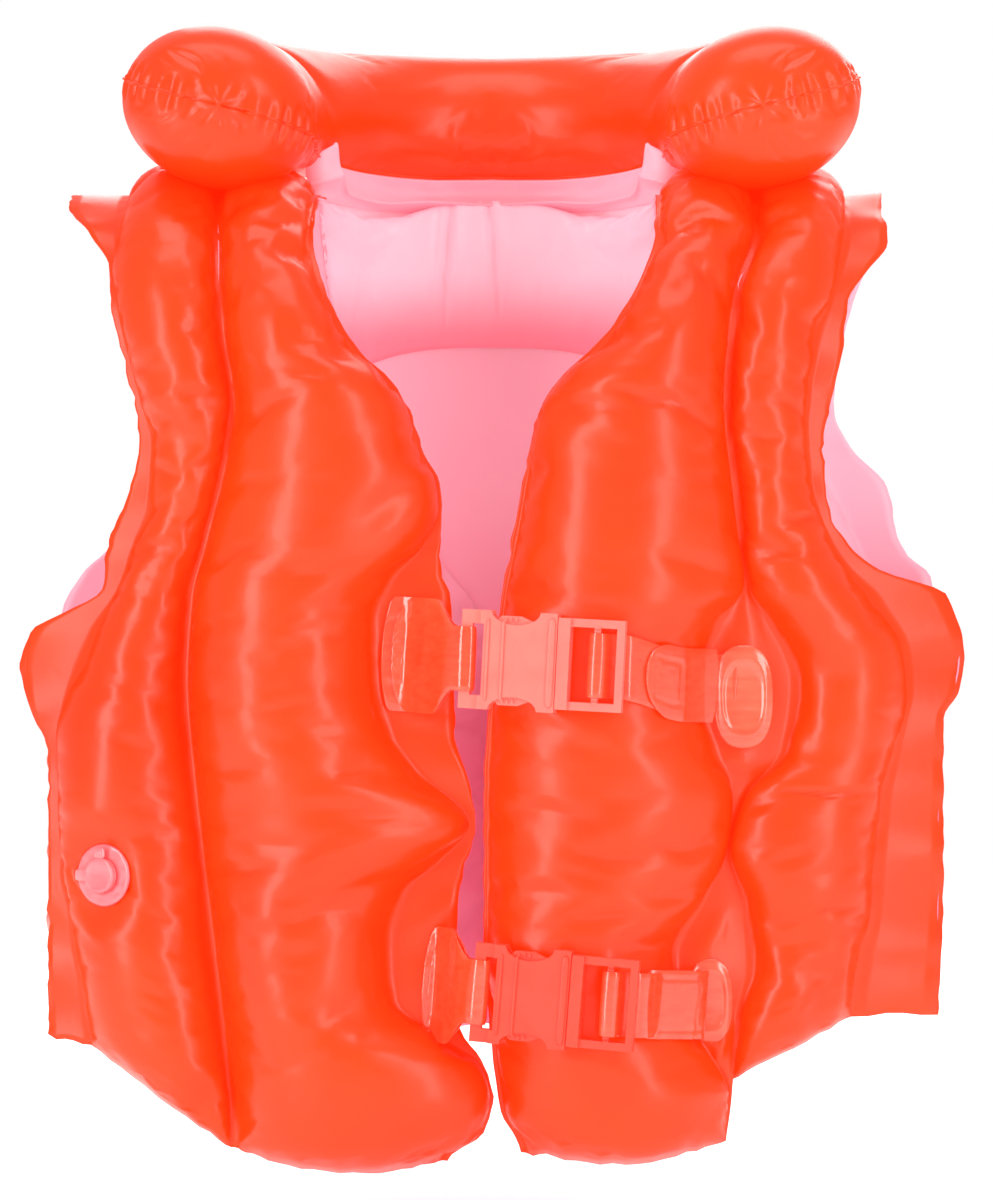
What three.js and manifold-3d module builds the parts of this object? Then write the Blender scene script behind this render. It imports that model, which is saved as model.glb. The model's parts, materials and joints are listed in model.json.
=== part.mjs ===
// An inflatable swim vest for a child of about 3 to 6 years.
//
// Each half of the front, and the back, is two vinyl films welded together along seams. Air between the
// seams makes long chambers that run over the shoulders. An inflated collar is welded round the neck, and
// two side-release buckles close the front. Each separate air space has its own valve with a cap.
//
// Millimetres. +X is the wearer's left, +Y points out of the back, +Z is up. The origin is the middle of
// the shoulder line, where the wearer's shoulders carry the vest.

import * as THREE from "three";
import { mergeVertices } from "three/addons/utils/BufferGeometryUtils.js";
import Module from "manifold-3d";

const wasm = await Module();
wasm.setup();

// ---- Driving dimensions --------------------------------------------------------------------------
const halfWidth = 178; // middle of the vest to the widest point of a side chamber
const panelDrop = 413; // shoulder line to the lowest point of a front panel
const chestDepth = 122; // between the inner faces of front and back
const chestLine = -80; // height where the panels start to bend back over the shoulders
const shoulderTop = -13; // height of the chambers' middle surface at the shoulder weld
const wrapStart = 60; // the middle of front and back is flat out to here, then curves back round the body
const wrapDepth = 26; // how far it curves back at the widest point
const filmThickness = 0.8; // two welded layers of vinyl film
const seamWidth = 3; // a weld seam between two chambers
const edgeWidth = 1.6; // the weld along the front edge
const gap = 0.3; // between separate pieces that touch
const centreThickness = 54; // inflated front centre chambers
const sideThickness = 44; // inflated front side chambers
const backThickness = 40; // inflated back chambers
const yokeThickness = 32; // inflated chamber behind the neck
const collarHeight = 54; // collar tube behind the neck
const bulbHeight = 73; // round ends of the collar
const strapWidth = 26;
const strapThickness = 1;
const tabThickness = 1.2;
const buckle = {
  width: 40, // across the strap
  bodyLength: 35, // socket, from its slot to its mouth
  thickness: 9,
  wall: 1.6,
  barLength: 4.5, // the bar that the tab loops round
  slot: 5, // the slot beside that bar
  notchDepth: 5.5, // finger notches in the socket's two edges
  notchLength: 20,
  notchCentre: 3, // along the strap from the socket's middle
  plugLength: 27, // the plug's frame, outside the socket
  railWidth: 3.4,
};
const valve = {
  flangeRadius: 12.5,
  flangeThickness: 1,
  stemRadius: 6,
  boreRadius: 4.1,
  stemLength: 13,
  capRadius: 7.5,
  capThickness: 1.8,
  plugLength: 2.5,
};

// ---- Outlines, as [height, distance from the middle], seen from the front --------------------------
// Each is one edge of a chamber or a film, with the height at which that edge ends.
const OUTLINE_HALF_WIDTH = 178;
const OUTLINE_DROP = 413;
const outlines = {
  rightFilm: {
    bottom: -360,
    points: [
      [-10, -181], [-26, -168], [-40, -158], [-55, -157], [-84, -150], [-113, -145], [-137, -150],
      [-156, -158], [-174, -160], [-184, -177], [-191, -190], [-206, -195], [-225, -190], [-242, -183],
      [-360, -183],
    ],
  },
  rightSideOuter: {
    bottom: -362,
    points: [
      [-12, -154], [-40, -156], [-56, -154], [-96, -144], [-114, -139], [-138, -140], [-162, -148],
      [-203, -166], [-236, -178], [-262, -178], [-322, -171], [-362, -165],
    ],
  },
  rightSeam: {
    bottom: -404,
    points: [
      [-10, -114], [-68, -110], [-96, -106], [-121, -109], [-154, -117], [-178, -123], [-211, -125],
      [-240, -123], [-293, -117], [-326, -113], [-359, -109], [-404, -105],
    ],
  },
  rightCentreInner: {
    bottom: -408,
    points: [
      [-10, -75], [-27, -76], [-51, -70], [-74, -58], [-88, -44], [-100, -35], [-119, -29], [-130, -23],
      [-141, -22], [-156, -28], [-170, -42], [-187, -49], [-211, -48], [-232, -43], [-250, -29], [-270, -9],
      [-285, -22], [-297, -37], [-318, -43], [-342, -41], [-357, -21], [-368, -5], [-381, -1], [-396, -5],
      [-408, -20],
    ],
  },
  rightFrontEdge: {
    bottom: -408,
    points: [
      [-10, -73], [-27, -74], [-51, -68], [-74, -56], [-88, -42], [-100, -33], [-119, -27], [-130, -21],
      [-141, -20], [-160, -21], [-183, -16], [-211, -15], [-232, -15], [-255, -8.5], [-270, -6.5],
      [-297, -13], [-318, -14], [-345, -14], [-357, -11], [-368, -3], [-381, 0.8], [-396, -3], [-408, -18],
    ],
  },
  leftFrontEdge: {
    bottom: -405,
    points: [
      [-10, 67], [-27, 67], [-47, 61], [-72, 45], [-88, 28], [-100, 20], [-113, 16], [-146, 10], [-178, 4.2],
      [-211, 0], [-260, -3], [-322, -3], [-355, -0.4], [-387, 4], [-405, 12],
    ],
  },
  leftCentreInner: {
    bottom: -405,
    points: [
      [-10, 69], [-27, 69], [-47, 63], [-72, 47], [-88, 30], [-100, 22], [-113, 18], [-146, 12], [-178, 6.2],
      [-211, 2], [-260, -1], [-322, -1], [-355, 1.6], [-387, 6], [-405, 14],
    ],
  },
  leftSeamCentre: {
    bottom: -400,
    points: [
      [-10, 107], [-27, 107], [-55, 99], [-96, 95], [-137, 99], [-174, 103], [-187, 92], [-211, 84],
      [-240, 90], [-258, 98], [-281, 95], [-301, 86], [-322, 74], [-346, 77], [-367, 91], [-380, 97],
      [-400, 96],
    ],
  },
  leftSeamSide: {
    bottom: -375,
    points: [
      [-10, 110], [-27, 110], [-55, 102], [-96, 98], [-137, 102], [-174, 106], [-187, 115], [-211, 127],
      [-240, 122], [-258, 105], [-281, 98], [-301, 105], [-326, 108], [-350, 102], [-375, 99],
    ],
  },
  leftSideOuter: {
    bottom: -350,
    points: [
      [-10, 147], [-43, 143], [-76, 133], [-105, 129], [-129, 131], [-154, 139], [-178, 155], [-199, 168],
      [-219, 170], [-240, 165], [-260, 160], [-301, 156], [-350, 148],
    ],
  },
  leftFilm: {
    bottom: -350,
    points: [
      [-10, 158], [-29, 165], [-43, 155], [-55, 147], [-72, 145], [-96, 140], [-113, 137], [-138, 138],
      [-156, 147], [-166, 160], [-176, 188], [-203, 196], [-215, 194], [-228, 187], [-301, 187], [-350, 185],
    ],
  },
  backFilm: {
    bottom: -354,
    points: [
      [-10, 172], [-30, 164], [-60, 154], [-96, 147], [-125, 148], [-150, 160], [-168, 178], [-185, 186],
      [-220, 186], [-354, 184],
    ],
  },
  backSideOuter: {
    bottom: -350,
    points: [
      [-10, 150], [-60, 147], [-96, 141], [-118, 142], [-140, 152], [-165, 162], [-200, 168], [-262, 168],
      [-350, 161],
    ],
  },
  backSeam: { bottom: -358, points: [[-10, 113], [-62, 108], [-120, 100], [-200, 94], [-358, 88]] },
  backInner: {
    bottom: -364,
    points: [
      [-10, 74], [-40, 72], [-66, 66], [-90, 62], [-130, 46], [-160, 24], [-185, 6], [-196, 2], [-364, 2],
    ],
  },
};

// ---- Curves and surfaces ---------------------------------------------------------------------------

// A smooth curve through [height, distance] points that never overshoots a point (monotone cubic).
function curve(points) {
  const z = points.map((p) => (p[0] * panelDrop) / OUTLINE_DROP).reverse();
  const x = points.map((p) => (p[1] * halfWidth) / OUTLINE_HALF_WIDTH).reverse();
  const n = z.length;
  const slope = z.slice(1).map((_, i) => (x[i + 1] - x[i]) / (z[i + 1] - z[i]));
  const tangent = z.map((_, i) => {
    if (i === 0 || i === n - 1) return 0;
    const [before, after] = [slope[i - 1], slope[i]];
    return before * after <= 0 ? 0 : (2 * before * after) / (before + after);
  });
  return (height) => {
    const h = Math.min(Math.max(height, z[0]), z[n - 1]);
    let i = 0;
    while (i < n - 2 && h > z[i + 1]) i += 1;
    const step = z[i + 1] - z[i];
    const t = (h - z[i]) / step;
    return (
      x[i] * (1 + 2 * t) * (1 - t) ** 2 +
      step * tangent[i] * t * (1 - t) ** 2 +
      x[i + 1] * t * t * (3 - 2 * t) +
      step * tangent[i + 1] * t * t * (t - 1)
    );
  };
}

const height = (z) => (z * panelDrop) / OUTLINE_DROP;
const width = (x) => (x * halfWidth) / OUTLINE_HALF_WIDTH;
const edges = Object.fromEntries(
  Object.entries(outlines).map(([name, { bottom, points }]) => [name, { x: curve(points), bottom: height(bottom) }]),
);
const moved = (edge, distance) => ({ x: (z) => edge.x(z) + distance, bottom: edge.bottom });
const mirrored = (edge) => ({ x: (z) => -edge.x(z), bottom: edge.bottom });

const frontDepth = chestDepth / 2 + centreThickness / 2; // middle surface of the front, from the body's middle
const backDepth = chestDepth / 2 + backThickness / 2;

// How far the middle surface lies in front of or behind the body's middle at distance x.
function reachAt(x, side) {
  const turned = Math.max(0, Math.abs(x) - wrapStart) / (halfWidth - wrapStart);
  return (side < 0 ? frontDepth : backDepth) - wrapDepth * turned ** 1.6;
}

// The middle surface at distance x from the middle. phi is the turn over the shoulder: 0 at and below the
// chest line, a quarter turn at the shoulder weld. side is -1 for the front and 1 for the back.
function middle(x, z, phi, side) {
  const reach = reachAt(x, side);
  const rise = shoulderTop - chestLine;
  const normal = new THREE.Vector3(0, (side * Math.cos(phi)) / reach, Math.sin(phi) / rise).normalize();
  if (phi <= 0) return { mid: new THREE.Vector3(x, side * reach, z), normal };
  return { mid: new THREE.Vector3(x, side * reach * Math.cos(phi), chestLine + rise * Math.sin(phi)), normal };
}

// The same with its normal worked out from nearby points of the surface at(u, v).
function withNormal(at, u, v) {
  const step = 1e-3;
  const alongU = at(Math.min(1, u + step), v).sub(at(Math.max(0, u - step), v));
  const alongV = at(u, Math.min(1, v + step)).sub(at(u, Math.max(0, v - step)));
  return { mid: at(u, v), normal: alongU.cross(alongV).normalize() };
}

// A closed solid between two skins. at(u, v) gives the middle point, the normal and half the thickness;
// the sides of the grid are closed with narrow walls.
function slab(nu, nv, at) {
  const positions = [];
  const faces = [];
  for (const skin of [1, -1]) {
    for (let j = 0; j <= nv; j += 1) {
      for (let i = 0; i <= nu; i += 1) {
        const { mid, normal, half } = at(i / nu, j / nv);
        const p = mid.clone().addScaledVector(normal, skin * half);
        positions.push(p.x, p.y, p.z);
      }
    }
  }
  const count = (nu + 1) * (nv + 1);
  const id = (i, j, lower) => j * (nu + 1) + i + (lower ? count : 0);
  const quad = (a, b, c, d) => faces.push(a, b, c, a, c, d);
  for (let j = 0; j < nv; j += 1) {
    for (let i = 0; i < nu; i += 1) {
      quad(id(i, j), id(i + 1, j), id(i + 1, j + 1), id(i, j + 1));
      quad(id(i, j, true), id(i, j + 1, true), id(i + 1, j + 1, true), id(i + 1, j, true));
    }
  }
  for (let i = 0; i < nu; i += 1) {
    quad(id(i, 0), id(i, 0, true), id(i + 1, 0, true), id(i + 1, 0));
    quad(id(i, nv), id(i + 1, nv), id(i + 1, nv, true), id(i, nv, true));
  }
  for (let j = 0; j < nv; j += 1) {
    quad(id(0, j), id(0, j + 1), id(0, j + 1, true), id(0, j, true));
    quad(id(nu, j), id(nu, j, true), id(nu, j + 1, true), id(nu, j + 1));
  }
  const geometry = new THREE.BufferGeometry();
  geometry.setAttribute("position", new THREE.Float32BufferAttribute(positions, 3));
  geometry.setIndex(faces);
  return outward(geometry);
}

// Turns a closed surface's faces outwards.
function outward(geometry) {
  const p = geometry.attributes.position;
  const index = geometry.index.array;
  const [a, b, c] = [new THREE.Vector3(), new THREE.Vector3(), new THREE.Vector3()];
  let volume = 0;
  for (let i = 0; i < index.length; i += 3) {
    a.fromBufferAttribute(p, index[i]);
    b.fromBufferAttribute(p, index[i + 1]);
    c.fromBufferAttribute(p, index[i + 2]);
    volume += a.dot(b.cross(c));
  }
  if (volume < 0) {
    for (let i = 0; i < index.length; i += 3) [index[i + 1], index[i + 2]] = [index[i + 2], index[i + 1]];
  }
  return geometry;
}

// ---- Solids for cuts and joins ---------------------------------------------------------------------
function solid(geometry, matrix) {
  const g = (geometry.index ? geometry.toNonIndexed() : geometry.clone()).deleteAttribute("normal");
  g.deleteAttribute("uv");
  if (matrix) g.applyMatrix4(matrix);
  const merged = mergeVertices(g, 1e-4);
  return new wasm.Manifold(
    new wasm.Mesh({
      numProp: 3,
      vertProperties: merged.attributes.position.array,
      triVerts: new Uint32Array(merged.index.array),
    }),
  );
}

function geometryOf(manifold) {
  const mesh = manifold.getMesh();
  const geometry = new THREE.BufferGeometry();
  geometry.setAttribute("position", new THREE.BufferAttribute(mesh.vertProperties, 3));
  geometry.setIndex(new THREE.BufferAttribute(mesh.triVerts, 1));
  return geometry;
}

const box = (x0, x1, y0, y1, z0, z1) =>
  solid(
    new THREE.BoxGeometry(x1 - x0, y1 - y0, z1 - z0),
    new THREE.Matrix4().makeTranslation((x0 + x1) / 2, (y0 + y1) / 2, (z0 + z1) / 2),
  );

// A flat outline of [x, z] points, extruded along Y from y0 to y1.
function plate(points, y0, y1) {
  const shape = new THREE.Shape(points.map(([x, z]) => new THREE.Vector2(x, -z)));
  const geometry = new THREE.ExtrudeGeometry(shape, { depth: y1 - y0, bevelEnabled: false });
  return solid(geometry, new THREE.Matrix4().makeRotationX(-Math.PI / 2).setPosition(0, y0, 0));
}

// ---- Materials -------------------------------------------------------------------------------------
const vinyl = (colour, roughness) => new THREE.MeshStandardMaterial({ color: colour, roughness, metalness: 0 });
const materials = {
  shell: vinyl(0xff3f1c, 0.25), // glossy orange-red film
  lining: vinyl(0xf7c3d2, 0.35), // pale pink inner film
  strap: vinyl(0xff4c2c, 0.3),
  buckle: vinyl(0xff7a6c, 0.4), // moulded plastic
  valve: vinyl(0xff8c98, 0.3), // soft clear pink vinyl
};

const vest = new THREE.Group();
const add = (name, geometry, material, parent = vest) => {
  const mesh = new THREE.Mesh(geometry, materials[material]);
  mesh.name = name;
  parent.add(mesh);
  return mesh;
};

// ---- Panels: chambers and the films between them -----------------------------------------------------
const rim = filmThickness / 2;
const panelRows = 18;
const archRows = 1 / 3; // share of a panel's rows that lie in the bend over the shoulder
const bottomRound = 30; // length over which a chamber closes at its lower end
const shoulderPinch = 0.6; // fullness that is left at the shoulder weld
const fullestShare = 0.42; // no chamber is thicker than twice this share of its width
const halfSeam = seamWidth / 2;
const weldTurn = (side) => Math.acos(gap / 2 / (side < 0 ? frontDepth : backDepth));

const bottomAt = (panel, u) =>
  panel.outer.bottom + (panel.inner.bottom - panel.outer.bottom) * u - (panel.droop ?? 0) * Math.sin(Math.PI * u);

// Half the thickness of a panel at share u of its width, at height z. A film is rim all over.
function fullness(panel, u, z, phi) {
  if (!panel.thickness) return rim;
  const span = Math.abs(panel.outer.x(z) - panel.inner.x(z));
  const full = Math.min(panel.thickness / 2, fullestShare * span);
  const toEnd = Math.min(1, Math.max(0, (z - bottomAt(panel, u)) / bottomRound));
  const endRound = Math.sqrt(1 - (1 - toEnd) ** 2);
  const shoulder = 1 - (1 - shoulderPinch) * (phi / (Math.PI / 2)) ** 2;
  return rim + (full - rim) * Math.sqrt(Math.max(0, 1 - (2 * u - 1) ** 2)) * endRound * shoulder;
}

// Turn over the shoulder and height of a point at share v of a panel's length.
function rowAt(panel, u, v) {
  const phi = v < archRows ? weldTurn(panel.side) * (1 - v / archRows) : 0;
  const rise = (shoulderTop - chestLine) * Math.sin(phi);
  const down = Math.max(0, (v - archRows) / (1 - archRows));
  return { phi, z: chestLine + rise + (bottomAt(panel, u) - chestLine) * down };
}

function panelGeometry(panel) {
  const nu = panel.thickness ? 6 : 1;
  const first = panel.firstRow ?? 0;
  const last = panel.lastRow ?? panelRows;
  return slab(nu, last - first, (s, t) => {
    const u = (1 - Math.cos(Math.PI * s)) / 2;
    const { phi, z } = rowAt(panel, u, (first + (last - first) * t) / panelRows);
    const x = panel.outer.x(z) + (panel.inner.x(z) - panel.outer.x(z)) * u;
    return { ...middle(x, z, phi, panel.side), half: fullness(panel, u, z, phi) };
  });
}

const front = (outer, inner, more = {}) => ({ outer, inner, side: -1, ...more });
const rear = (outer, inner, more = {}) => ({ outer, inner, side: 1, ...more });
const e = edges;
const shieldRows = [6, 11]; // the flat lining behind the shoulder blades ends where the chambers meet
const panels = {
  right_front_side_chamber: front(e.rightSideOuter, moved(e.rightSeam, -halfSeam), { thickness: sideThickness }),
  right_front_centre_chamber: front(moved(e.rightSeam, halfSeam), e.rightCentreInner, {
    thickness: centreThickness,
    droop: 5,
  }),
  left_front_side_chamber: front(e.leftSideOuter, e.leftSeamSide, { thickness: sideThickness }),
  left_front_centre_chamber: front(e.leftSeamCentre, e.leftCentreInner, { thickness: centreThickness, droop: 9 }),
  right_front_armhole_film: front(e.rightFilm, moved(e.rightSideOuter, -gap)),
  right_front_seam: front(moved(e.rightSeam, gap - halfSeam), moved(e.rightSeam, halfSeam - gap)),
  right_front_edge_film: front(moved(e.rightCentreInner, gap), e.rightFrontEdge),
  left_front_edge_film: front(moved(e.leftCentreInner, -gap), e.leftFrontEdge),
  left_front_seam: front(moved(e.leftSeamCentre, gap), moved(e.leftSeamSide, -gap)),
  left_front_armhole_film: front(moved(e.leftSideOuter, gap), e.leftFilm),
};
for (const [name, sign, flip] of [["right", -1, mirrored], ["left", 1, (edge) => edge]]) {
  panels[`back_${name}_side_chamber`] = rear(flip(e.backSideOuter), moved(flip(e.backSeam), sign * halfSeam), {
    thickness: backThickness,
  });
  panels[`back_${name}_inner_chamber`] = rear(moved(flip(e.backSeam), -sign * halfSeam), flip(e.backInner), {
    thickness: backThickness,
  });
  panels[`back_${name}_seam`] = rear(
    moved(flip(e.backSeam), sign * (halfSeam - gap)),
    moved(flip(e.backSeam), sign * (gap - halfSeam)),
  );
  panels[`back_${name}_armhole_film`] = rear(flip(e.backFilm), moved(flip(e.backSideOuter), sign * gap));
}
panels.back_shield = rear(moved(mirrored(e.backInner), gap), moved(e.backInner, -gap), {
  firstRow: shieldRows[0],
  lastRow: shieldRows[1],
});
panels.back_middle_seam = rear(moved(mirrored(e.backInner), gap), moved(e.backInner, -gap), {
  firstRow: shieldRows[1],
});

// ---- The chamber behind the neck and the side panels -------------------------------------------------
// The yoke chamber runs from one shoulder chamber to the other. It hangs straight down in the middle and
// turns over the shoulders at its two ends.
function yokeMiddle(u, v) {
  const phi = weldTurn(1) * (1 - v);
  const z = chestLine + gap + (shoulderTop - chestLine - gap) * Math.sin(phi);
  const reach = e.backInner.x(z) - gap;
  const x = reach * (2 * u - 1);
  const towardsShoulder = (2 * u - 1) ** 4;
  return new THREE.Vector3(x, reachAt(x, 1) * (1 - towardsShoulder * (1 - Math.cos(phi))), z);
}

function yokeGeometry(nu = 12, nv = 6) {
  return slab(nu, nv, (s, v) => {
    const u = (1 - Math.cos(Math.PI * s)) / 2;
    const round = Math.sqrt(Math.max(0, 1 - (2 * u - 1) ** 4)) * Math.sin(Math.PI * v) ** 0.6;
    return { ...withNormal(yokeMiddle, u, v), half: rim + (yokeThickness / 2 - rim) * round };
  });
}

// A side panel joins the outer edges of front and back under the arm.
const underarm = { right: [-192, -186], left: [-180, -172] }; // height of its top edge, at front and back
const sideBulge = 3;

function sidePanelGeometry(sign, frontFilm, tops, nu = 6, nv = 6) {
  const surface = (u, v) => {
    const top = height(tops[0] + (tops[1] - tops[0]) * u);
    const z = top + (Math.max(frontFilm.bottom, e.backFilm.bottom) - top) * v;
    const ends = [Math.abs(frontFilm.x(z)) - rim, e.backFilm.x(z) - rim];
    const x = ends[0] + (ends[1] - ends[0]) * u + sideBulge * Math.sin(Math.PI * u);
    const from = -reachAt(ends[0], -1) + rim + gap;
    const to = reachAt(ends[1], 1) - rim - gap;
    return new THREE.Vector3(sign * x, from + (to - from) * u, z);
  };
  return slab(nu, nv, (u, v) => ({ ...withNormal(surface, u, v), half: rim }));
}

// ---- Valves ----------------------------------------------------------------------------------------
// Each valve is a flange welded to the film, a stem that pushes down flush, a cap on a tether and a
// non-return flap at the stem's foot. Local +Z points out of the chamber.
const lathe = (points, segments = 16) => {
  const geometry = new THREE.LatheGeometry(points.map(([r, z]) => new THREE.Vector2(r, z)), segments);
  return geometry.applyMatrix4(new THREE.Matrix4().makeRotationX(Math.PI / 2));
};
const ring = (inner, outer, z0, z1) => lathe([[inner, z0], [outer, z0], [outer, z1], [inner, z1], [inner, z0]]);
const disc = (radius, z0, z1) => lathe([[0, z0], [radius, z0], [radius, z1], [0, z1]]);
const seatDepth = 3; // the dimple that the flange sits in, below the chamber's skin
const tetherWidth = 5;
const flapRoom = 7; // space in the chamber for the open flap

function valveFrame(position, direction) {
  const group = new THREE.Group();
  const z = direction.clone().normalize();
  const x = new THREE.Vector3(0, 0, 1).cross(z).normalize();
  const y = z.clone().cross(x);
  group.quaternion.setFromRotationMatrix(new THREE.Matrix4().makeBasis(x, y, z));
  group.position.copy(position);
  return group;
}

// The pocket that the film makes for a sunk valve, in the valve's frame.
function valvePocket(frame) {
  frame.updateMatrixWorld(true);
  const clear = valve.stemRadius + 1.2;
  const seat = solid(disc(valve.flangeRadius + 1, -gap, seatDepth + 14), frame.matrixWorld);
  const bore = solid(disc(clear, -valve.stemLength - flapRoom, 1), frame.matrixWorld);
  return seat.add(bore);
}

function addValve(name, frame) {
  vest.add(frame);
  const { flangeRadius, flangeThickness, stemRadius, boreRadius, stemLength, capRadius, capThickness } = valve;
  add(`${name}_flange`, ring(stemRadius + gap, flangeRadius, 0, flangeThickness), "valve", frame);
  const lip = 1.2;
  const stemTop = flangeThickness + 1.6;
  const stem = lathe([
    [boreRadius, stemTop - stemLength], [stemRadius, stemTop - stemLength], [stemRadius, flangeThickness + gap],
    [stemRadius + lip, flangeThickness + gap], [stemRadius + lip, stemTop], [boreRadius, stemTop],
    [boreRadius, stemTop - stemLength],
  ]);
  add(`${name}_stem`, stem, "valve", frame);
  const capFoot = stemTop + gap;
  const plugRadius = boreRadius - 0.7;
  const cap = solid(
    lathe([
      [0, capFoot - valve.plugLength], [plugRadius, capFoot - valve.plugLength], [plugRadius, capFoot],
      [capRadius, capFoot], [capRadius, capFoot + capThickness], [0, capFoot + capThickness],
    ]),
  );
  const tetherReach = capRadius + 4;
  const tether = box(-tetherReach, 0, -tetherWidth / 2, tetherWidth / 2, capFoot, capFoot + 1);
  const pull = box(0, capRadius + 3, -tetherWidth / 2, tetherWidth / 2, capFoot, capFoot + 1.2);
  add(`${name}_cap`, geometryOf(cap.add(tether).add(pull)), "valve", frame);
  const flapTop = stemTop - stemLength - gap;
  add(`${name}_flap`, disc(stemRadius - 0.4, flapTop - 0.5, flapTop), "valve", frame);
}

// Where a line along Y through (x, z) meets a panel's outer skin, below the shoulder bend.
function skinDepth(panel, x, z) {
  const u = (x - panel.outer.x(z)) / (panel.inner.x(z) - panel.outer.x(z));
  if (u < 0 || u > 1) return panel.side * (reachAt(x, panel.side) + rim);
  return panel.side * (reachAt(x, panel.side) + fullness(panel, u, z, 0));
}

function onSkin(panel, u, z, outwards) {
  const x = panel.outer.x(z) + (panel.inner.x(z) - panel.outer.x(z)) * u;
  return new THREE.Vector3(x, skinDepth(panel, x, z), z).addScaledVector(outwards, -seatDepth);
}

// ---- Collar ----------------------------------------------------------------------------------------
// A band that runs round the neck. Its welded edge faces the neck and turns down behind it; its ends are round.
const collarStations = [
  { x: -112, y: -72, z: 28, reach: 40, full: 1, lean: 14 },
  { x: -113, y: -40, z: 30, reach: 41, full: 0.84, lean: 18 },
  { x: -108, y: -8, z: 32, reach: 38, full: 0.54, lean: 26 },
  { x: -94, y: 28, z: 32, reach: 33, full: 0.12, lean: 40 },
  { x: -66, y: 60, z: 31, reach: 30, full: 0, lean: 54 },
  { x: -34, y: 78, z: 31, reach: 29, full: 0, lean: 62 },
]; // reach is from the middle to the welded edges, full is 0 for the tube and 1 for a bulb, lean in degrees
const collarBack = { x: 0, y: 84, z: 31, reach: 28, full: 0, lean: 64 };
const collarLine = [
  ...collarStations,
  collarBack,
  ...collarStations.map((station) => ({ ...station, x: -station.x })).reverse(),
];
const bulbEnds = 0.085; // share of the collar's length in which each end closes

// A value of the stations at share v of the collar's length, on a smooth curve through them.
function collarValue(key, v) {
  const last = collarLine.length - 1;
  const i = Math.min(last - 1, Math.floor(v * last));
  const t = v * last - i;
  const [p, q, r, s] = [i - 1, i, i + 1, i + 2].map((k) => collarLine[Math.min(last, Math.max(0, k))][key]);
  return 0.5 * (2 * q + (r - p) * t + (2 * p - 5 * q + 4 * r - s) * t ** 2 + (3 * q - p - 3 * r + s) * t ** 3);
}

// The collar's middle, its direction across towards the neck, its normal and its size at share v.
function collarSection(v) {
  const centre = (at) => new THREE.Vector3(width(collarValue("x", at)), collarValue("y", at), collarValue("z", at));
  const step = 1e-3;
  const along = centre(Math.min(1, v + step)).sub(centre(Math.max(0, v - step))).normalize();
  const lean = (collarValue("lean", v) * Math.PI) / 180;
  const across = new THREE.Vector3(0, 0, 1).cross(along).negate().normalize().multiplyScalar(Math.cos(lean));
  across.z -= Math.sin(lean);
  across.addScaledVector(along, -across.dot(along)).normalize();
  const toEnd = Math.min(1, Math.min(v, 1 - v) / bulbEnds);
  const close = Math.sqrt(Math.max(4e-4, 1 - (1 - toEnd) ** 2));
  const thickest = (collarHeight + (bulbHeight - collarHeight) * collarValue("full", v)) / 2;
  return {
    centre: centre(v),
    across,
    normal: along.clone().cross(across).normalize(),
    reach: collarValue("reach", v) * close,
    half: rim + (thickest - rim) * close,
  };
}

function collarGeometry(nu = 8, nv = 30) {
  return slab(nu, nv, (s, t) => {
    const u = -Math.cos(Math.PI * s);
    const section = collarSection((1 - Math.cos(Math.PI * t)) / 2);
    return {
      mid: section.centre.clone().addScaledVector(section.across, u * section.reach),
      normal: section.normal,
      half: rim + (section.half - rim) * Math.sqrt(Math.max(0, 1 - u * u)),
    };
  });
}

// The film that joins the collar's welded edge to the top of the yoke chamber.
const neckBandSpan = [0.27, 0.73]; // share of the collar's length
function neckBandGeometry(nu = 2, nv = 16) {
  const surface = (u, v) => {
    const section = collarSection(neckBandSpan[0] + (neckBandSpan[1] - neckBandSpan[0]) * v);
    const top = section.centre.clone().addScaledVector(section.across, section.reach + 2.5 * gap);
    const foot = yokeMiddle(0.02 + 0.96 * v, 0);
    foot.z += 2 * gap + rim;
    return top.lerp(foot, u);
  };
  return slab(nu, nv, (u, v) => ({ ...withNormal(surface, u, v), half: rim }));
}

// ---- Place the chambers, films and valves -------------------------------------------------------------
const rightSide = panels.right_front_side_chamber;
const outFront = new THREE.Vector3(-0.5, -0.86, 0).normalize();
const frontValve = valveFrame(onSkin(rightSide, 0.28, height(-291), outFront), outFront);
const backInner = panels.back_left_inner_chamber;
const outBack = new THREE.Vector3(0, 1, 0);
const backValve = valveFrame(onSkin(backInner, 0.5, height(-300), outBack), outBack);
const collarRear = collarSection(0.5);
const outCollar = collarRear.normal.clone().multiplyScalar(Math.sign(collarRear.normal.y));
const collarValveFoot = collarRear.centre.clone().addScaledVector(outCollar, collarRear.half - seatDepth);
const collarValve = valveFrame(collarValveFoot, outCollar);

const pockets = new Map([[rightSide, frontValve], [backInner, backValve]]);
for (const [name, panel] of Object.entries(panels)) {
  const whole = panelGeometry(panel);
  const valveHere = pockets.get(panel);
  const geometry = valveHere ? geometryOf(solid(whole).subtract(valvePocket(valveHere))) : whole;
  add(name, geometry, name === "back_shield" ? "lining" : "shell");
}
add("back_yoke_chamber", yokeGeometry(), "shell");
add("right_side_panel", sidePanelGeometry(-1, e.rightFilm, underarm.right), "shell");
add("left_side_panel", sidePanelGeometry(1, e.leftFilm, underarm.left), "shell");
add("neck_band", neckBandGeometry(), "lining");
add("collar_chamber", geometryOf(solid(collarGeometry()).subtract(valvePocket(collarValve))), "shell");
addValve("front_valve", frontValve);
addValve("back_valve", backValve);
addValve("collar_valve", collarValve);

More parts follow.
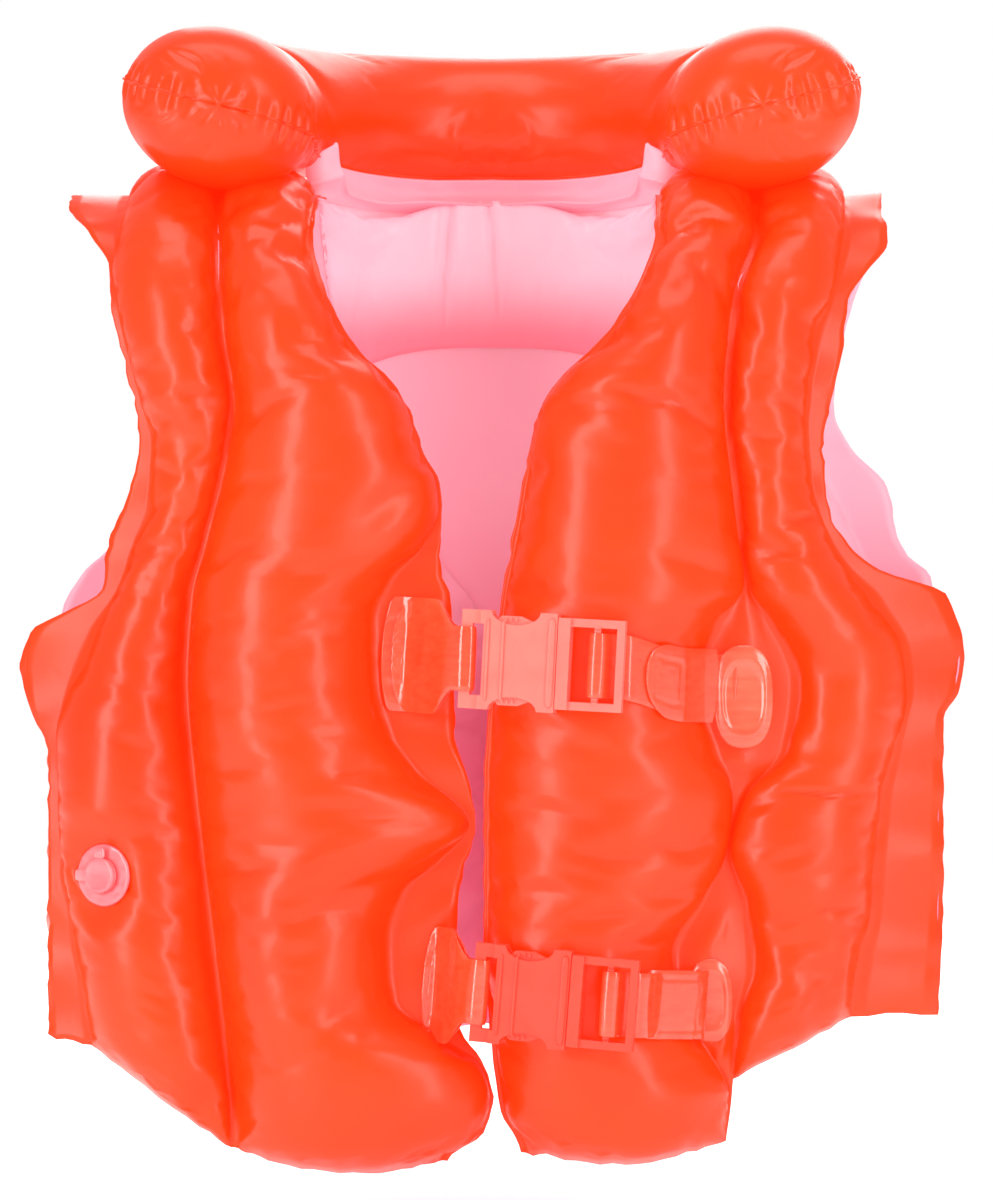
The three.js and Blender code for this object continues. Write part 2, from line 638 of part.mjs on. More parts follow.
// ---- Buckles -----------------------------------------------------------------------------------------
// Local x runs along the strap, from the socket's bar to the plug's end, with 0 at the socket's middle.
// Local y points into the body and z up.
const socketEnd = buckle.width / 2;
const bodyStart = socketEnd - buckle.bodyLength + buckle.slot;
const barStart = bodyStart - buckle.slot - buckle.barLength;
const halfBody = buckle.thickness / 2;
const cavityHalf = halfBody - buckle.wall;
const cavityWidth = buckle.width / 2 - buckle.wall;
const plugStart = socketEnd + gap;
const plugEnd = plugStart + buckle.plugLength;
const shoulderLength = 5;
const frameThickness = 5;
const barWidth = 2.6;
const centreBar = plugStart + shoulderLength + 9.4;
const tongue = { width: 8, thickness: 3.6, length: 25 };
const prong = { thickness: 4.4, length: 26, root: [9.5, 14.5], play: 0.3 };

function socketGeometry() {
  const w = buckle.width / 2;
  const body = box(barStart, socketEnd, -halfBody, halfBody, -w, w);
  const cavity = box(bodyStart + buckle.wall, socketEnd + 1, -cavityHalf, cavityHalf, -cavityWidth, cavityWidth);
  const railInside = w - 5.5;
  const slot = box(barStart + buckle.barLength, bodyStart, -w, w, -railInside, railInside);
  const thinned = [-1, 1].map((s) =>
    box(barStart - 1, bodyStart - 1.5, s > 0 ? 2 : -w, s > 0 ? w : -2, -w - 1, w + 1),
  );
  let result = body.subtract(cavity).subtract(slot);
  for (const cutter of thinned) result = result.subtract(cutter);
  for (const s of [-1, 1]) {
    const notch = new THREE.CylinderGeometry(1, 1, 2 * w, 20);
    notch.scale(buckle.notchLength / 2, 1, buckle.notchDepth);
    result = result.subtract(solid(notch, new THREE.Matrix4().makeTranslation(buckle.notchCentre, 0, s * w)));
  }
  return geometryOf(result);
}

function plugGeometry() {
  const w = buckle.width / 2 - 1.5;
  const half = frameThickness / 2;
  const shoulder = box(plugStart, plugStart + shoulderLength, -halfBody + 0.2, halfBody - 0.2, -w, w);
  const tip = box(plugStart - tongue.length, plugStart + 1, -tongue.thickness / 2, tongue.thickness / 2,
    -tongue.width / 2, tongue.width / 2);
  let result = shoulder.add(tip);
  for (const s of [-1, 1]) {
    const inside = w - buckle.railWidth;
    result = result.add(box(plugStart + 1, plugEnd, -half, half, s > 0 ? inside : -w, s > 0 ? w : -inside));
  }
  result = result.add(box(centreBar, centreBar + barWidth, -half + 0.6, half - 0.6, -w + 1, w - 1));
  result = result.add(box(plugEnd - barWidth - 0.6, plugEnd, -half, half, -w + 1, w - 1));
  return geometryOf(result);
}

// A springy arm with a pad that shows in the socket's finger notch. side is 1 for the top one.
function prongGeometry(side) {
  const root = plugStart - prong.play - gap;
  const tip = root - prong.length;
  const [low, high] = prong.root;
  const padTop = cavityWidth - gap;
  const outline = [
    [root, low], [root, high], [tip + 17, 15.6], [tip + 11, padTop], [tip + 3, padTop], [tip, padTop - 3],
    [tip, padTop - 6.5], [tip + 10, padTop - 6], [tip + 17, 11.4],
  ].map(([x, z]) => [x, side * z]);
  return geometryOf(plate(outline, -prong.thickness / 2, prong.thickness / 2));
}

// A band of film or strap that follows a line of [x, y] points, extruded along z.
function ribbon(points, thickness, z0, z1) {
  const line = points.map(([x, y]) => new THREE.Vector2(x, y));
  const sides = [1, -1].map((s) =>
    line.map((p, i) => {
      const before = line[Math.max(0, i - 1)];
      const after = line[Math.min(line.length - 1, i + 1)];
      const inward = i > 0 ? p.clone().sub(before).normalize() : after.clone().sub(p).normalize();
      const onward = i < line.length - 1 ? after.clone().sub(p).normalize() : inward;
      const bisector = new THREE.Vector2(-inward.y - onward.y, inward.x + onward.x).normalize();
      const mitre = thickness / 2 / Math.max(0.5, bisector.dot(new THREE.Vector2(-inward.y, inward.x)));
      return p.clone().addScaledVector(bisector, s * mitre);
    }),
  );
  const shape = new THREE.Shape([...sides[0], ...sides[1].reverse()]);
  const geometry = new THREE.ExtrudeGeometry(shape, { depth: z1 - z0, bevelEnabled: false });
  return geometry.translate(0, 0, z0);
}

// A buckle lies on the left centre chamber, turned so that its plug end stands a little further out.
const yaw = (10 * Math.PI) / 180;
const underBuckle = panels.left_front_centre_chamber;
function buckleFrame(x, z, tilt) {
  const group = new THREE.Group();
  group.quaternion.setFromEuler(new THREE.Euler(0, 0, -yaw));
  group.quaternion.multiply(new THREE.Quaternion().setFromAxisAngle(new THREE.Vector3(0, 1, 0), tilt));
  group.position.set(x, 0, z);
  group.updateMatrixWorld(true);
  let forward = -Infinity;
  for (let lx = barStart; lx <= plugEnd; lx += 3) {
    for (let lz = -buckle.width / 2; lz <= buckle.width / 2; lz += 4) {
      const back = group.localToWorld(new THREE.Vector3(lx, halfBody, lz));
      forward = Math.max(forward, back.y - skinDepth(underBuckle, back.x, back.z));
    }
  }
  group.position.y = -forward - strapThickness - 2 * gap;
  group.updateMatrixWorld(true);
  return group;
}

const tabClearance = 2.5; // from the chamber's edge to the tab

// The tab comes off the right front's edge film, goes round the socket's bar and lies back on itself.
function tabGeometry(frame, welded) {
  const chamberEdge = panels.right_front_centre_chamber.inner;
  const nearest = [-1, -0.5, 0, 0.5, 1].map((s) => chamberEdge.x(frame.position.z + (s * strapWidth) / 2));
  const filmEnd = Math.max(...nearest) + tabClearance;
  const place = (x, depth) => {
    const p = frame.worldToLocal(new THREE.Vector3(x, depth, frame.position.z));
    return [p.x, p.y];
  };
  const film = -frontDepth - rim - 2 * gap - tabThickness / 2;
  const front = film - tabThickness - 2 * gap;
  const around = 2 + gap + tabThickness / 2;
  const far = barStart + buckle.barLength + gap + tabThickness / 2;
  const bend = barStart - 3;
  const points = [
    place(filmEnd, film), place(filmEnd + welded, film), [bend, around], [far, around], [far, -around],
    [bend, -around], place(filmEnd + welded - 1, front), place(filmEnd + welded / 3, front),
  ];
  return ribbon(points, tabThickness, -strapWidth / 2, strapWidth / 2);
}

const strapClearance = 2.2; // between the strap and the round chamber under it

// The strap comes off its patch, lies on the chamber, goes round the plug's centre bar and ends in a tail.
function strapGeometry(frame, patchX, tailX) {
  const t = strapThickness / 2;
  const behind = frameThickness / 2 + gap + t;
  const turn = centreBar - gap - t;
  const steps = 16;
  const from = frame.localToWorld(new THREE.Vector3(plugEnd + 2, behind, 0));
  const last = patchX - 4;
  const film = -frontDepth - rim - patchThickness - 2 * gap - t;
  const onSkinLine = Array.from({ length: steps }, (_, i) => {
    const x = from.x + ((last - from.x) * (i + 1)) / steps;
    const local = frame.worldToLocal(new THREE.Vector3(x, from.y, frame.position.z));
    let depth = film;
    for (let lz = -strapWidth / 2; lz <= strapWidth / 2; lz += strapWidth / 8) {
      const p = frame.localToWorld(new THREE.Vector3(local.x, local.y, lz));
      depth = Math.min(depth, skinDepth(underBuckle, p.x, p.z) - t - strapClearance);
    }
    const p = frame.worldToLocal(new THREE.Vector3(x, depth, frame.position.z));
    return [p.x, Math.max(p.y, behind)];
  });
  const tail = frame.worldToLocal(new THREE.Vector3(tailX, from.y, frame.position.z)).x;
  const points = [
    ...onSkinLine.reverse(), [plugEnd + 2, behind], [turn, behind], [turn, -behind], [plugEnd + 2, -behind],
    [tail, -behind + 1],
  ];
  return ribbon(points, strapThickness, -strapWidth / 2, strapWidth / 2);
}

const patchThickness = 1.2;
function addBuckle(name, { x, z, tilt, welded, patch, tailX }) {
  const frame = buckleFrame(width(x), height(z), (tilt * Math.PI) / 180);
  vest.add(frame);
  add(`${name}_socket`, socketGeometry(), "buckle", frame);
  add(`${name}_plug`, plugGeometry(), "buckle", frame);
  add(`${name}_top_prong`, prongGeometry(1), "buckle", frame);
  add(`${name}_bottom_prong`, prongGeometry(-1), "buckle", frame);
  add(`${name}_tab`, tabGeometry(frame, welded), "strap", frame);
  add(`${name}_strap`, strapGeometry(frame, width(patch.x), width(tailX)), "strap", frame);
  const oval = new THREE.CylinderGeometry(1, 1, patchThickness, 20);
  oval.scale(patch.width / 2, 1, patch.height / 2);
  const seat = -frontDepth - rim - gap - patchThickness / 2;
  add(`${name}_strap_patch`, oval.translate(width(patch.x), seat, height(patch.z)), "strap");
}

addBuckle("upper_buckle", {
  x: 7, z: -203, tilt: 3, welded: 12,
  patch: { x: 101, z: -215, width: 19, height: 38 }, tailX: 76,
});
addBuckle("lower_buckle", {
  x: 12, z: -338, tilt: 4.5, welded: 7,
  patch: { x: 89.5, z: -342, width: 18, height: 34 }, tailX: 84,
});

export default vest;
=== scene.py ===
"""The finished look of an inflatable swim vest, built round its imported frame.

Metres. +X is the wearer's left, +Y points out of the back, +Z is up.
"""

import json
import math

import bmesh
import bpy
import numpy as np
from bpy.props import FloatProperty, FloatVectorProperty, IntProperty, PointerProperty
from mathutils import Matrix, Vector

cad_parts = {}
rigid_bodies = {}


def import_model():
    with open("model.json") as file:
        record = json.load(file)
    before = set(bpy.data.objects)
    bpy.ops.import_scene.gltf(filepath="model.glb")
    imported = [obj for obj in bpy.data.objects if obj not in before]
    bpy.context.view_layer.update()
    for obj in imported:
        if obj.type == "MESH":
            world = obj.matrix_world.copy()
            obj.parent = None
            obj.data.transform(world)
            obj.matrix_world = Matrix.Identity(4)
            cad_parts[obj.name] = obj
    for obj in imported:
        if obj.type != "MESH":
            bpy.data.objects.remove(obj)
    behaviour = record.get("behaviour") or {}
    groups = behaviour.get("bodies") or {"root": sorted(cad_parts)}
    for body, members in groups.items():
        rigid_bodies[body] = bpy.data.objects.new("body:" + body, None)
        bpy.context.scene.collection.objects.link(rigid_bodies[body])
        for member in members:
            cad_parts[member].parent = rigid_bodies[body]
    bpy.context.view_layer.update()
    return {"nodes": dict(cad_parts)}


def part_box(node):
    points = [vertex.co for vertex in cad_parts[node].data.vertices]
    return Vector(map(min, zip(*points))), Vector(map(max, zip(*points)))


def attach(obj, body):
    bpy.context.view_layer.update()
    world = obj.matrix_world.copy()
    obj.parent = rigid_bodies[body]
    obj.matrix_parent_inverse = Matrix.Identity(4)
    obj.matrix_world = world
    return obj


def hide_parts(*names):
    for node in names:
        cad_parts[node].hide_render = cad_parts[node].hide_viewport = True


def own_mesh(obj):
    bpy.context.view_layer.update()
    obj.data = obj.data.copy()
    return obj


bl_info = {
    "name": "Inflatable swim vest",
    "version": (1, 0, 0),
    "blender": (4, 5, 0),
    "location": "View3D > Sidebar > Swim vest",
    "description": "Builds the welded film, collar, buckles and valves of a swim vest",
    "category": "Object",
}

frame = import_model()
MM = 0.001

# ---- The film's pattern, in millimetres ---------------------------------------------------------------
# Each edge of a chamber or film is a list of (height, distance from the middle) and its lowest height.
PATTERN = {
    "right_film": (-360, [
        (-10, 181), (-26, 168), (-40, 158), (-55, 157), (-84, 150), (-113, 145), (-137, 150),
        (-156, 158), (-174, 160), (-184, 177), (-191, 190), (-206, 195), (-225, 190), (-242, 183),
        (-360, 183)]),
    "right_side": (-362, [
        (-12, 154), (-40, 156), (-56, 154), (-96, 144), (-114, 139), (-138, 140), (-162, 148),
        (-203, 166), (-236, 178), (-262, 178), (-322, 171), (-362, 165)]),
    "right_seam": (-404, [
        (-10, 114), (-68, 110), (-96, 106), (-121, 109), (-154, 117), (-178, 123), (-211, 125),
        (-240, 123), (-293, 117), (-326, 113), (-359, 109), (-404, 105)]),
    "right_centre": (-408, [
        (-10, 75), (-27, 76), (-51, 70), (-74, 58), (-88, 44), (-100, 35), (-119, 29), (-130, 23),
        (-141, 22), (-156, 28), (-170, 42), (-187, 49), (-211, 48), (-232, 43), (-250, 29), (-270, 9),
        (-285, 22), (-297, 37), (-318, 43), (-342, 41), (-357, 21), (-368, 5), (-381, 1), (-396, 5),
        (-408, 20)]),
    "right_edge": (-408, [
        (-10, 73), (-27, 74), (-51, 68), (-74, 56), (-88, 42), (-100, 33), (-119, 27), (-130, 21),
        (-141, 20), (-160, 21), (-183, 16), (-211, 15), (-232, 15), (-255, 8.5), (-270, 6.5),
        (-297, 13), (-318, 14), (-345, 14), (-357, 11), (-368, 3), (-381, -0.8), (-396, 3), (-408, 18)]),
    "left_edge": (-405, [
        (-10, 67), (-27, 67), (-47, 61), (-72, 45), (-88, 28), (-100, 20), (-113, 16), (-146, 10),
        (-178, 4.2), (-211, 0), (-260, -3), (-322, -3), (-355, -0.4), (-387, 4), (-405, 12)]),
    "left_centre": (-405, [
        (-10, 69), (-27, 69), (-47, 63), (-72, 47), (-88, 30), (-100, 22), (-113, 18), (-146, 12),
        (-178, 6.2), (-211, 2), (-260, -1), (-322, -1), (-355, 1.6), (-387, 6), (-405, 14)]),
    "left_seam_centre": (-400, [
        (-10, 107), (-27, 107), (-55, 99), (-96, 95), (-137, 99), (-174, 103), (-187, 92), (-211, 84),
        (-240, 90), (-258, 98), (-281, 95), (-301, 86), (-322, 74), (-346, 77), (-367, 91), (-380, 97),
        (-400, 96)]),
    "left_seam_side": (-375, [
        (-10, 110), (-27, 110), (-55, 102), (-96, 98), (-137, 102), (-174, 106), (-187, 115), (-211, 127),
        (-240, 122), (-258, 105), (-281, 98), (-301, 105), (-326, 108), (-350, 102), (-375, 99)]),
    "left_side": (-350, [
        (-10, 147), (-43, 143), (-76, 133), (-105, 129), (-129, 131), (-154, 139), (-178, 155),
        (-199, 168), (-219, 170), (-240, 165), (-260, 160), (-301, 156), (-350, 148)]),
    "left_film": (-350, [
        (-10, 158), (-29, 165), (-43, 155), (-55, 147), (-72, 145), (-96, 140), (-113, 137), (-138, 138),
        (-156, 147), (-166, 160), (-176, 188), (-203, 196), (-215, 194), (-228, 187), (-301, 187),
        (-350, 185)]),
    "back_film": (-354, [
        (-10, 172), (-30, 164), (-60, 154), (-96, 147), (-125, 148), (-150, 160), (-168, 178),
        (-185, 186), (-220, 186), (-354, 184)]),
    "left_back_film": (-354, [
        (-10, 172), (-30, 164), (-60, 154), (-96, 149), (-112, 156), (-130, 172), (-146, 175), (-158, 179),
        (-168, 190), (-185, 192), (-220, 187), (-354, 184)]),
    "back_side": (-350, [
        (-10, 150), (-60, 147), (-96, 141), (-118, 142), (-140, 152), (-165, 162), (-200, 168),
        (-262, 168), (-350, 161)]),
    "back_seam": (-358, [(-10, 113), (-62, 108), (-120, 100), (-200, 94), (-358, 88)]),
    "back_inner": (-364, [
        (-10, 74), (-40, 72), (-66, 66), (-90, 62), (-130, 46), (-160, 24), (-185, 6), (-196, 2),
        (-364, 2)]),
}
CHEST_LINE = -80.0  # where the panels start to bend back over the shoulders
SHOULDER_TOP = -7.5  # the chambers' middle surface at the shoulder
HALF_WIDTH = 178.0
WRAP_START = 60.0
WRAP_DEPTH = 26.0
FRONT_DEPTH = 88.0  # middle surface of the front, from the body's middle
BACK_DEPTH = 81.0
FILM = 0.7  # two welded layers
WELD = "weld"


def smooth(t):
    """3t^2 - 2t^3 of t held between 0 and 1."""
    t = np.clip(t, 0.0, 1.0)
    return t * t * (3.0 - 2.0 * t)


def through(points):
    """A curve through (z, x) points that never overshoots one: cubic pieces whose slopes at the points
    are the harmonic mean of the slopes on either side, and 0 where those differ in sign."""
    z, x = np.array(sorted(points), float).T
    step = np.diff(z)
    slope = np.diff(x) / step
    tangent = np.zeros_like(z)
    before, after = slope[:-1], slope[1:]
    same = before * after > 0
    total = np.where(same, before + after, 1.0)
    tangent[1:-1] = np.where(same, 2.0 * before * after / total, 0.0)

    def at(height):
        h = np.clip(height, z[0], z[-1])
        i = np.clip(np.searchsorted(z, h, side="right") - 1, 0, len(z) - 2)
        t = (h - z[i]) / step[i]
        return (
            x[i] * (1 + 2 * t) * (1 - t) ** 2 + step[i] * tangent[i] * t * (1 - t) ** 2
            + x[i + 1] * t * t * (3 - 2 * t) + step[i] * tangent[i + 1] * t * t * (t - 1)
        )

    return at


EDGES = {name: (through(points), float(bottom)) for name, (bottom, points) in PATTERN.items()}


def reach(x, side):
    """Distance of the middle surface from the body's middle: the depth less a curve towards the sides."""
    turned = np.clip(np.abs(x) - WRAP_START, 0, None) / (HALF_WIDTH - WRAP_START)
    return np.where(side < 0, FRONT_DEPTH, BACK_DEPTH) - WRAP_DEPTH * turned ** 1.6


def on_body(x, z, phi, side, lift):
    """A point lifted off the middle surface: a wall below the chest line, a quarter of an ellipse above it."""
    r = reach(x, side)
    rise = SHOULDER_TOP - CHEST_LINE
    y = side * r * np.cos(phi)
    height = np.where(phi > 0, CHEST_LINE + rise * np.sin(phi), z)
    ny = side * np.cos(phi) / r
    nz = np.where(phi > 0, np.sin(phi) / rise, 0.0)
    length = np.hypot(ny, nz)
    return np.stack([x, y + lift * ny / length, height + lift * nz / length], axis=-1)


def wave(s, seed, length):
    """A smooth wave of s between about -1 and 1, a sum of five sines with seeded lengths and phases."""
    rng = np.random.default_rng(seed)
    lengths = length * rng.uniform(0.6, 1.7, 5)
    phases = rng.uniform(0, 2 * math.pi, 5)
    weights = rng.uniform(0.5, 1.0, 5)
    terms = [w * np.sin(2 * math.pi * s / l + p) for w, l, p in zip(weights, lengths, phases)]
    return sum(terms) / weights.sum() * 1.6


def bell(distance, width):
    """exp(-(distance / width)^2)."""
    return np.exp(-((distance / width) ** 2))


def unit(vectors):
    """Vectors of length 1 in the same directions."""
    return vectors / np.maximum(np.linalg.norm(vectors, axis=-1, keepdims=True), 1e-9)


def set_all(target, **values):
    """Sets settings by name."""
    for key, value in values.items():
        setattr(target, key, value)


# ---- Meshes ------------------------------------------------------------------------------------------
def placed(name, data):
    """A new object in the scene."""
    obj = bpy.data.objects.new(name, data)
    bpy.context.scene.collection.objects.link(obj)
    return obj


def mesh_object(name, points, faces, materials, tags=None):
    """A new smooth object from an (n, 3) array in millimetres and a list of faces. The tags say which of
    the materials each face takes."""
    mesh = bpy.data.meshes.new(name)
    mesh.from_pydata((np.asarray(points, float) * MM).tolist(), [], np.asarray(faces).tolist())
    for material in materials:
        mesh.materials.append(material)
    if tags is not None:
        mesh.polygons.foreach_set("material_index", np.asarray(tags, np.int32))
    mesh.polygons.foreach_set("use_smooth", np.ones(len(mesh.polygons), bool))
    mesh.update()
    return placed(name, mesh)


def grid_faces(rows, columns, start=0, flip=False):
    """Quads of a grid of points stored row by row."""
    i = np.arange(rows - 1)[:, None] * columns + np.arange(columns - 1)[None, :] + start
    quads = np.stack([i, i + 1, i + columns + 1, i + columns], axis=-1).reshape(-1, 4)
    return quads[:, ::-1] if flip else quads


def two_sheets(outer, lining):
    """Points, faces and tags of two (rows, columns, 3) sheets joined all round their border."""
    rows, columns = outer.shape[:2]
    count = rows * columns
    ids = np.arange(count).reshape(rows, columns)
    loop = np.concatenate([ids[0, :-1], ids[:-1, -1], ids[-1, :0:-1], ids[:0:-1, 0]])
    after = np.roll(loop, -1)
    wall = np.stack([loop, loop + count, after + count, after], axis=-1)
    sheet = grid_faces(rows, columns)
    faces = np.concatenate([sheet, grid_faces(rows, columns, count, True), wall])
    tags = np.repeat([0, 1, 0], [len(sheet), len(sheet), len(wall)])
    return np.concatenate([outer.reshape(-1, 3), lining.reshape(-1, 3)]), faces, tags


def coordinates(obj):
    """The mesh's points as an (n, 3) array, in metres."""
    co = np.empty(len(obj.data.vertices) * 3)
    obj.data.vertices.foreach_get("co", co)
    return co.reshape(-1, 3)


def set_coordinates(obj, co):
    obj.data.vertices.foreach_set("co", np.asarray(co).reshape(-1))
    obj.data.update()


def outwards(obj):
    """Turns a closed mesh's faces out by the sign of its volume."""
    mesh = obj.data
    mesh.calc_loop_triangles()
    tris = np.empty(len(mesh.loop_triangles) * 3, np.int32)
    mesh.loop_triangles.foreach_get("vertices", tris)
    a, b, c = coordinates(obj)[tris.reshape(-1, 3)].transpose(1, 0, 2)
    if np.einsum("ij,ij->i", a, np.cross(b, c)).sum() < 0:
        mesh.flip_normals()
    return obj


def film_piece(name, sheets, welded, materials):
    """Two sheets as a closed mesh that names the points that stay in place while it is blown up."""
    points, faces, tags = two_sheets(*sheets)
    obj = outwards(mesh_object(name, points, faces, materials, np.minimum(tags, len(materials) - 1)))
    group = obj.vertex_groups.new(name=WELD)
    group.add(np.flatnonzero(np.tile(welded.reshape(-1), 2)).tolist(), 1.0, "REPLACE")
    return obj


def blow_up(pieces, film):
    """Blows two-sheet meshes up together: a cloth simulation with the welds held, the film grown and air
    inside. The result is written into the meshes, no point further than film.most from where it was."""
    scene = bpy.context.scene
    for obj, growth, pressure in pieces:
        cloth = obj.modifiers.new("Cloth", "CLOTH")
        set_all(
            cloth.settings, quality=film.quality, mass=film.mass, air_damping=1.0, tension_stiffness=film.stretch,
            compression_stiffness=film.stretch, shear_stiffness=film.stretch * 0.4,
            bending_stiffness=film.bending, vertex_group_mass=WELD, pin_stiffness=1.0, shrink_min=-growth,
            use_pressure=True, uniform_pressure_force=pressure)
        cloth.settings.effector_weights.gravity = 0.0
        cloth.collision_settings.use_collision = False
        set_all(cloth.point_cache, frame_start=1, frame_end=film.frames)
    for step in range(1, film.frames + 1):
        scene.frame_set(step)
    graph = bpy.context.evaluated_depsgraph_get()
    most = film.most * MM
    for obj, _, _ in pieces:
        start = coordinates(obj)
        move = coordinates(obj.evaluated_get(graph)) - start
        length = np.linalg.norm(move, axis=1, keepdims=True)
        move *= most * np.tanh(length / most) / np.maximum(length, 1e-9)
        obj.modifiers.remove(obj.modifiers["Cloth"])
        set_coordinates(obj, start + move)
    scene.frame_set(1)


# ---- Settings ----------------------------------------------------------------------------------------
class SWIMVEST_PG_film(bpy.types.PropertyGroup):
    """How the film is blown up and how it looks."""

    growth: FloatProperty(
        name="Film growth", description="Share that the film is longer than its welds", default=0.034,
        min=0.0, max=0.3)
    pressure: FloatProperty(name="Air pressure", description="Push of the air on the film", default=14.0)
    stretch: FloatProperty(name="Stretch stiffness", description="Resistance of the film to stretch", default=30.0)
    bending: FloatProperty(name="Bending stiffness", description="Resistance of the film to folds", default=0.5)
    mass: FloatProperty(name="Film mass", description="Mass of each point of the film", default=0.08)
    quality: IntProperty(name="Steps", description="Simulation steps for each frame", default=5, min=1)
    frames: IntProperty(name="Frames", description="Frames that the film is blown up for", default=20, min=2)
    most: FloatProperty(
        name="Most movement", description="No point moves further than this, in millimetres", default=9.0)
    outer_colour: FloatVectorProperty(
        name="Outer film", description="Colour of the glossy outer film", subtype="COLOR", size=3,
        default=(1.0, 0.05, 0.004))
    lining_colour: FloatVectorProperty(
        name="Lining", description="Colour of the inner film", subtype="COLOR", size=3,
        default=(0.95, 0.5, 0.59))


class SWIMVEST_PG_stage(bpy.types.PropertyGroup):
    """Camera and light."""

    distance: FloatProperty(name="Camera distance", description="From the vest", default=2.4, unit="LENGTH")
    view_height: FloatProperty(
        name="View height", description="Height of the view at the vest", default=0.490, unit="LENGTH")
    centre_x: FloatProperty(
        name="View centre X", description="Middle of the view", default=0.0022, unit="LENGTH")
    centre_z: FloatProperty(
        name="View centre Z", description="Middle of the view", default=-0.1785, unit="LENGTH")
    floor: FloatProperty(name="Floor", description="Height of the floor", default=-0.432, unit="LENGTH")
    light: FloatProperty(name="Light", description="Power of the largest softbox", default=19.0, unit="POWER")
    surround: FloatProperty(name="Surround", description="Strength of the even white light", default=0.5)


# ---- Materials ---------------------------------------------------------------------------------------
def fill(node, **values):
    """Sets a node's inputs and settings by name. A value that is another node's output is linked."""
    for key, value in values.items():
        label = key.replace("_", " ")
        if isinstance(value, bpy.types.NodeSocket):
            node.id_data.links.new(value, node.inputs[label])
        elif label in node.inputs:
            node.inputs[label].default_value = value
        else:
            setattr(node, key, value)
    return node


def new_material(name):
    """A node material, its shader, a function that adds a node, and its Object coordinates."""
    material = bpy.data.materials.new(name)
    material.use_nodes = True
    nodes = material.node_tree.nodes

    def add(kind, **values):
        return fill(nodes.new("ShaderNode" + kind), **values)

    return material, nodes["Principled BSDF"], add, add("TexCoord").outputs["Object"]


def mixed(node, factor, low, high):
    """A Mix node's colour, which runs from low, a colour or a node's output, to high with factor."""
    node.data_type = "RGBA"
    links = node.id_data.links
    links.new(factor, node.inputs[0])
    if isinstance(low, bpy.types.NodeSocket):
        links.new(low, node.inputs[6])
    else:
        node.inputs[6].default_value = (*low, 1.0)
    node.inputs[7].default_value = (*high, 1.0)
    return node.outputs[2]


def vinyl_film(name, colour, deep, painted_glow, roughness, grain):
    """Glossy vinyl film: its colour deepens in slow patches, with fine wrinkles and a faint haze. It gives off a
    painted glow in its own colour, which stands in for light coming through the film.
    """
    material, shader, add, place = new_material(name)
    patches = add("TexNoise", Scale=9.0, Detail=3.0, Roughness=0.6, Vector=place)
    tint = mixed(add("Mix"), patches.outputs[0], deep, colour)
    haze = add("TexNoise", Scale=60.0, Detail=4.0, Vector=place)
    gloss = add("MapRange", To_Min=roughness * 0.75, To_Max=roughness * 1.3, Value=haze.outputs[0])
    fine = add("TexNoise", Scale=160.0, Detail=3.0, Distortion=0.4, Vector=place)
    bump = add("Bump", Strength=grain, Distance=0.0012, Height=fine.outputs[0])
    # Painted glow: the film gives off light in its own colour, standing in for light through it.
    fill(shader, Base_Color=tint, Emission_Color=tint, Emission_Strength=painted_glow, Roughness=gloss.outputs[0],
         Normal=bump.outputs[0], Specular_IOR_Level=0.36, IOR=1.43, Coat_Weight=0.1, Coat_Roughness=0.16)
    return material


def clear_band(name, colour, pale, painted_glow, roughness):
    """Thick soft vinyl: paler in slow clouds, with fine lengthwise flow and small bubbles. It gives off a painted
    glow in its own colour, which stands in for light coming through the vinyl.
    """
    material, shader, add, place = new_material(name)
    flow = add("Mapping", Scale=(60.0, 200.0, 420.0), Vector=place)
    streaks = add("TexNoise", Scale=1.0, Detail=3.0, Vector=flow.outputs[0])
    cloud = add("TexNoise", Scale=42.0, Detail=2.0, Vector=place)
    both = add("Math", operation="ADD")
    cells = add("TexVoronoi", Scale=420.0, Vector=place)
    height = add("Math", operation="MULTIPLY_ADD")
    height.inputs[1].default_value = 0.3
    for output, socket in (
            (streaks.outputs[0], both.inputs[0]), (cloud.outputs[0], both.inputs[1]),
            (cells.outputs["Distance"], height.inputs[0]), (streaks.outputs[0], height.inputs[2])):
        material.node_tree.links.new(output, socket)
    share = add("MapRange", From_Min=0.5, From_Max=1.6, Value=both.outputs[0])
    tint = mixed(add("Mix"), share.outputs[0], colour, pale)
    bump = add("Bump", Strength=0.22, Distance=0.0006, Height=height.outputs[0])
    # Painted glow: the vinyl gives off light in its own colour, standing in for light through it.
    fill(shader, Base_Color=tint, Emission_Color=tint, Emission_Strength=painted_glow, Normal=bump.outputs[0],
         Roughness=roughness, Coat_Weight=0.5, Coat_Roughness=0.06)
    return material


def moulded(name, colour, deep, painted_glow):
    """Moulded plastic: a fine matt grain, slow flow marks and slightly deeper colour in places. It gives off a
    painted glow in its own colour, which stands in for light coming through the plastic.
    """
    material, shader, add, place = new_material(name)
    flow = add("TexNoise", Scale=55.0, Detail=4.0, Distortion=1.2, Vector=place)
    tint = mixed(add("Mix"), flow.outputs[0], deep, colour)
    grain = add("TexNoise", Scale=1400.0, Detail=2.0, Vector=place)
    bump = add("Bump", Strength=0.16, Distance=0.0002, Height=grain.outputs[0])
    gloss = add("MapRange", To_Min=0.3, To_Max=0.48, Value=flow.outputs[0])
    # Painted glow: the plastic gives off light in its own colour, standing in for light through it.
    fill(shader, Base_Color=tint, Emission_Color=tint, Emission_Strength=painted_glow, Normal=bump.outputs[0],
         Roughness=gloss.outputs[0], Subsurface_Weight=0.15, Subsurface_Radius=(0.004, 0.0015, 0.001))
    return material


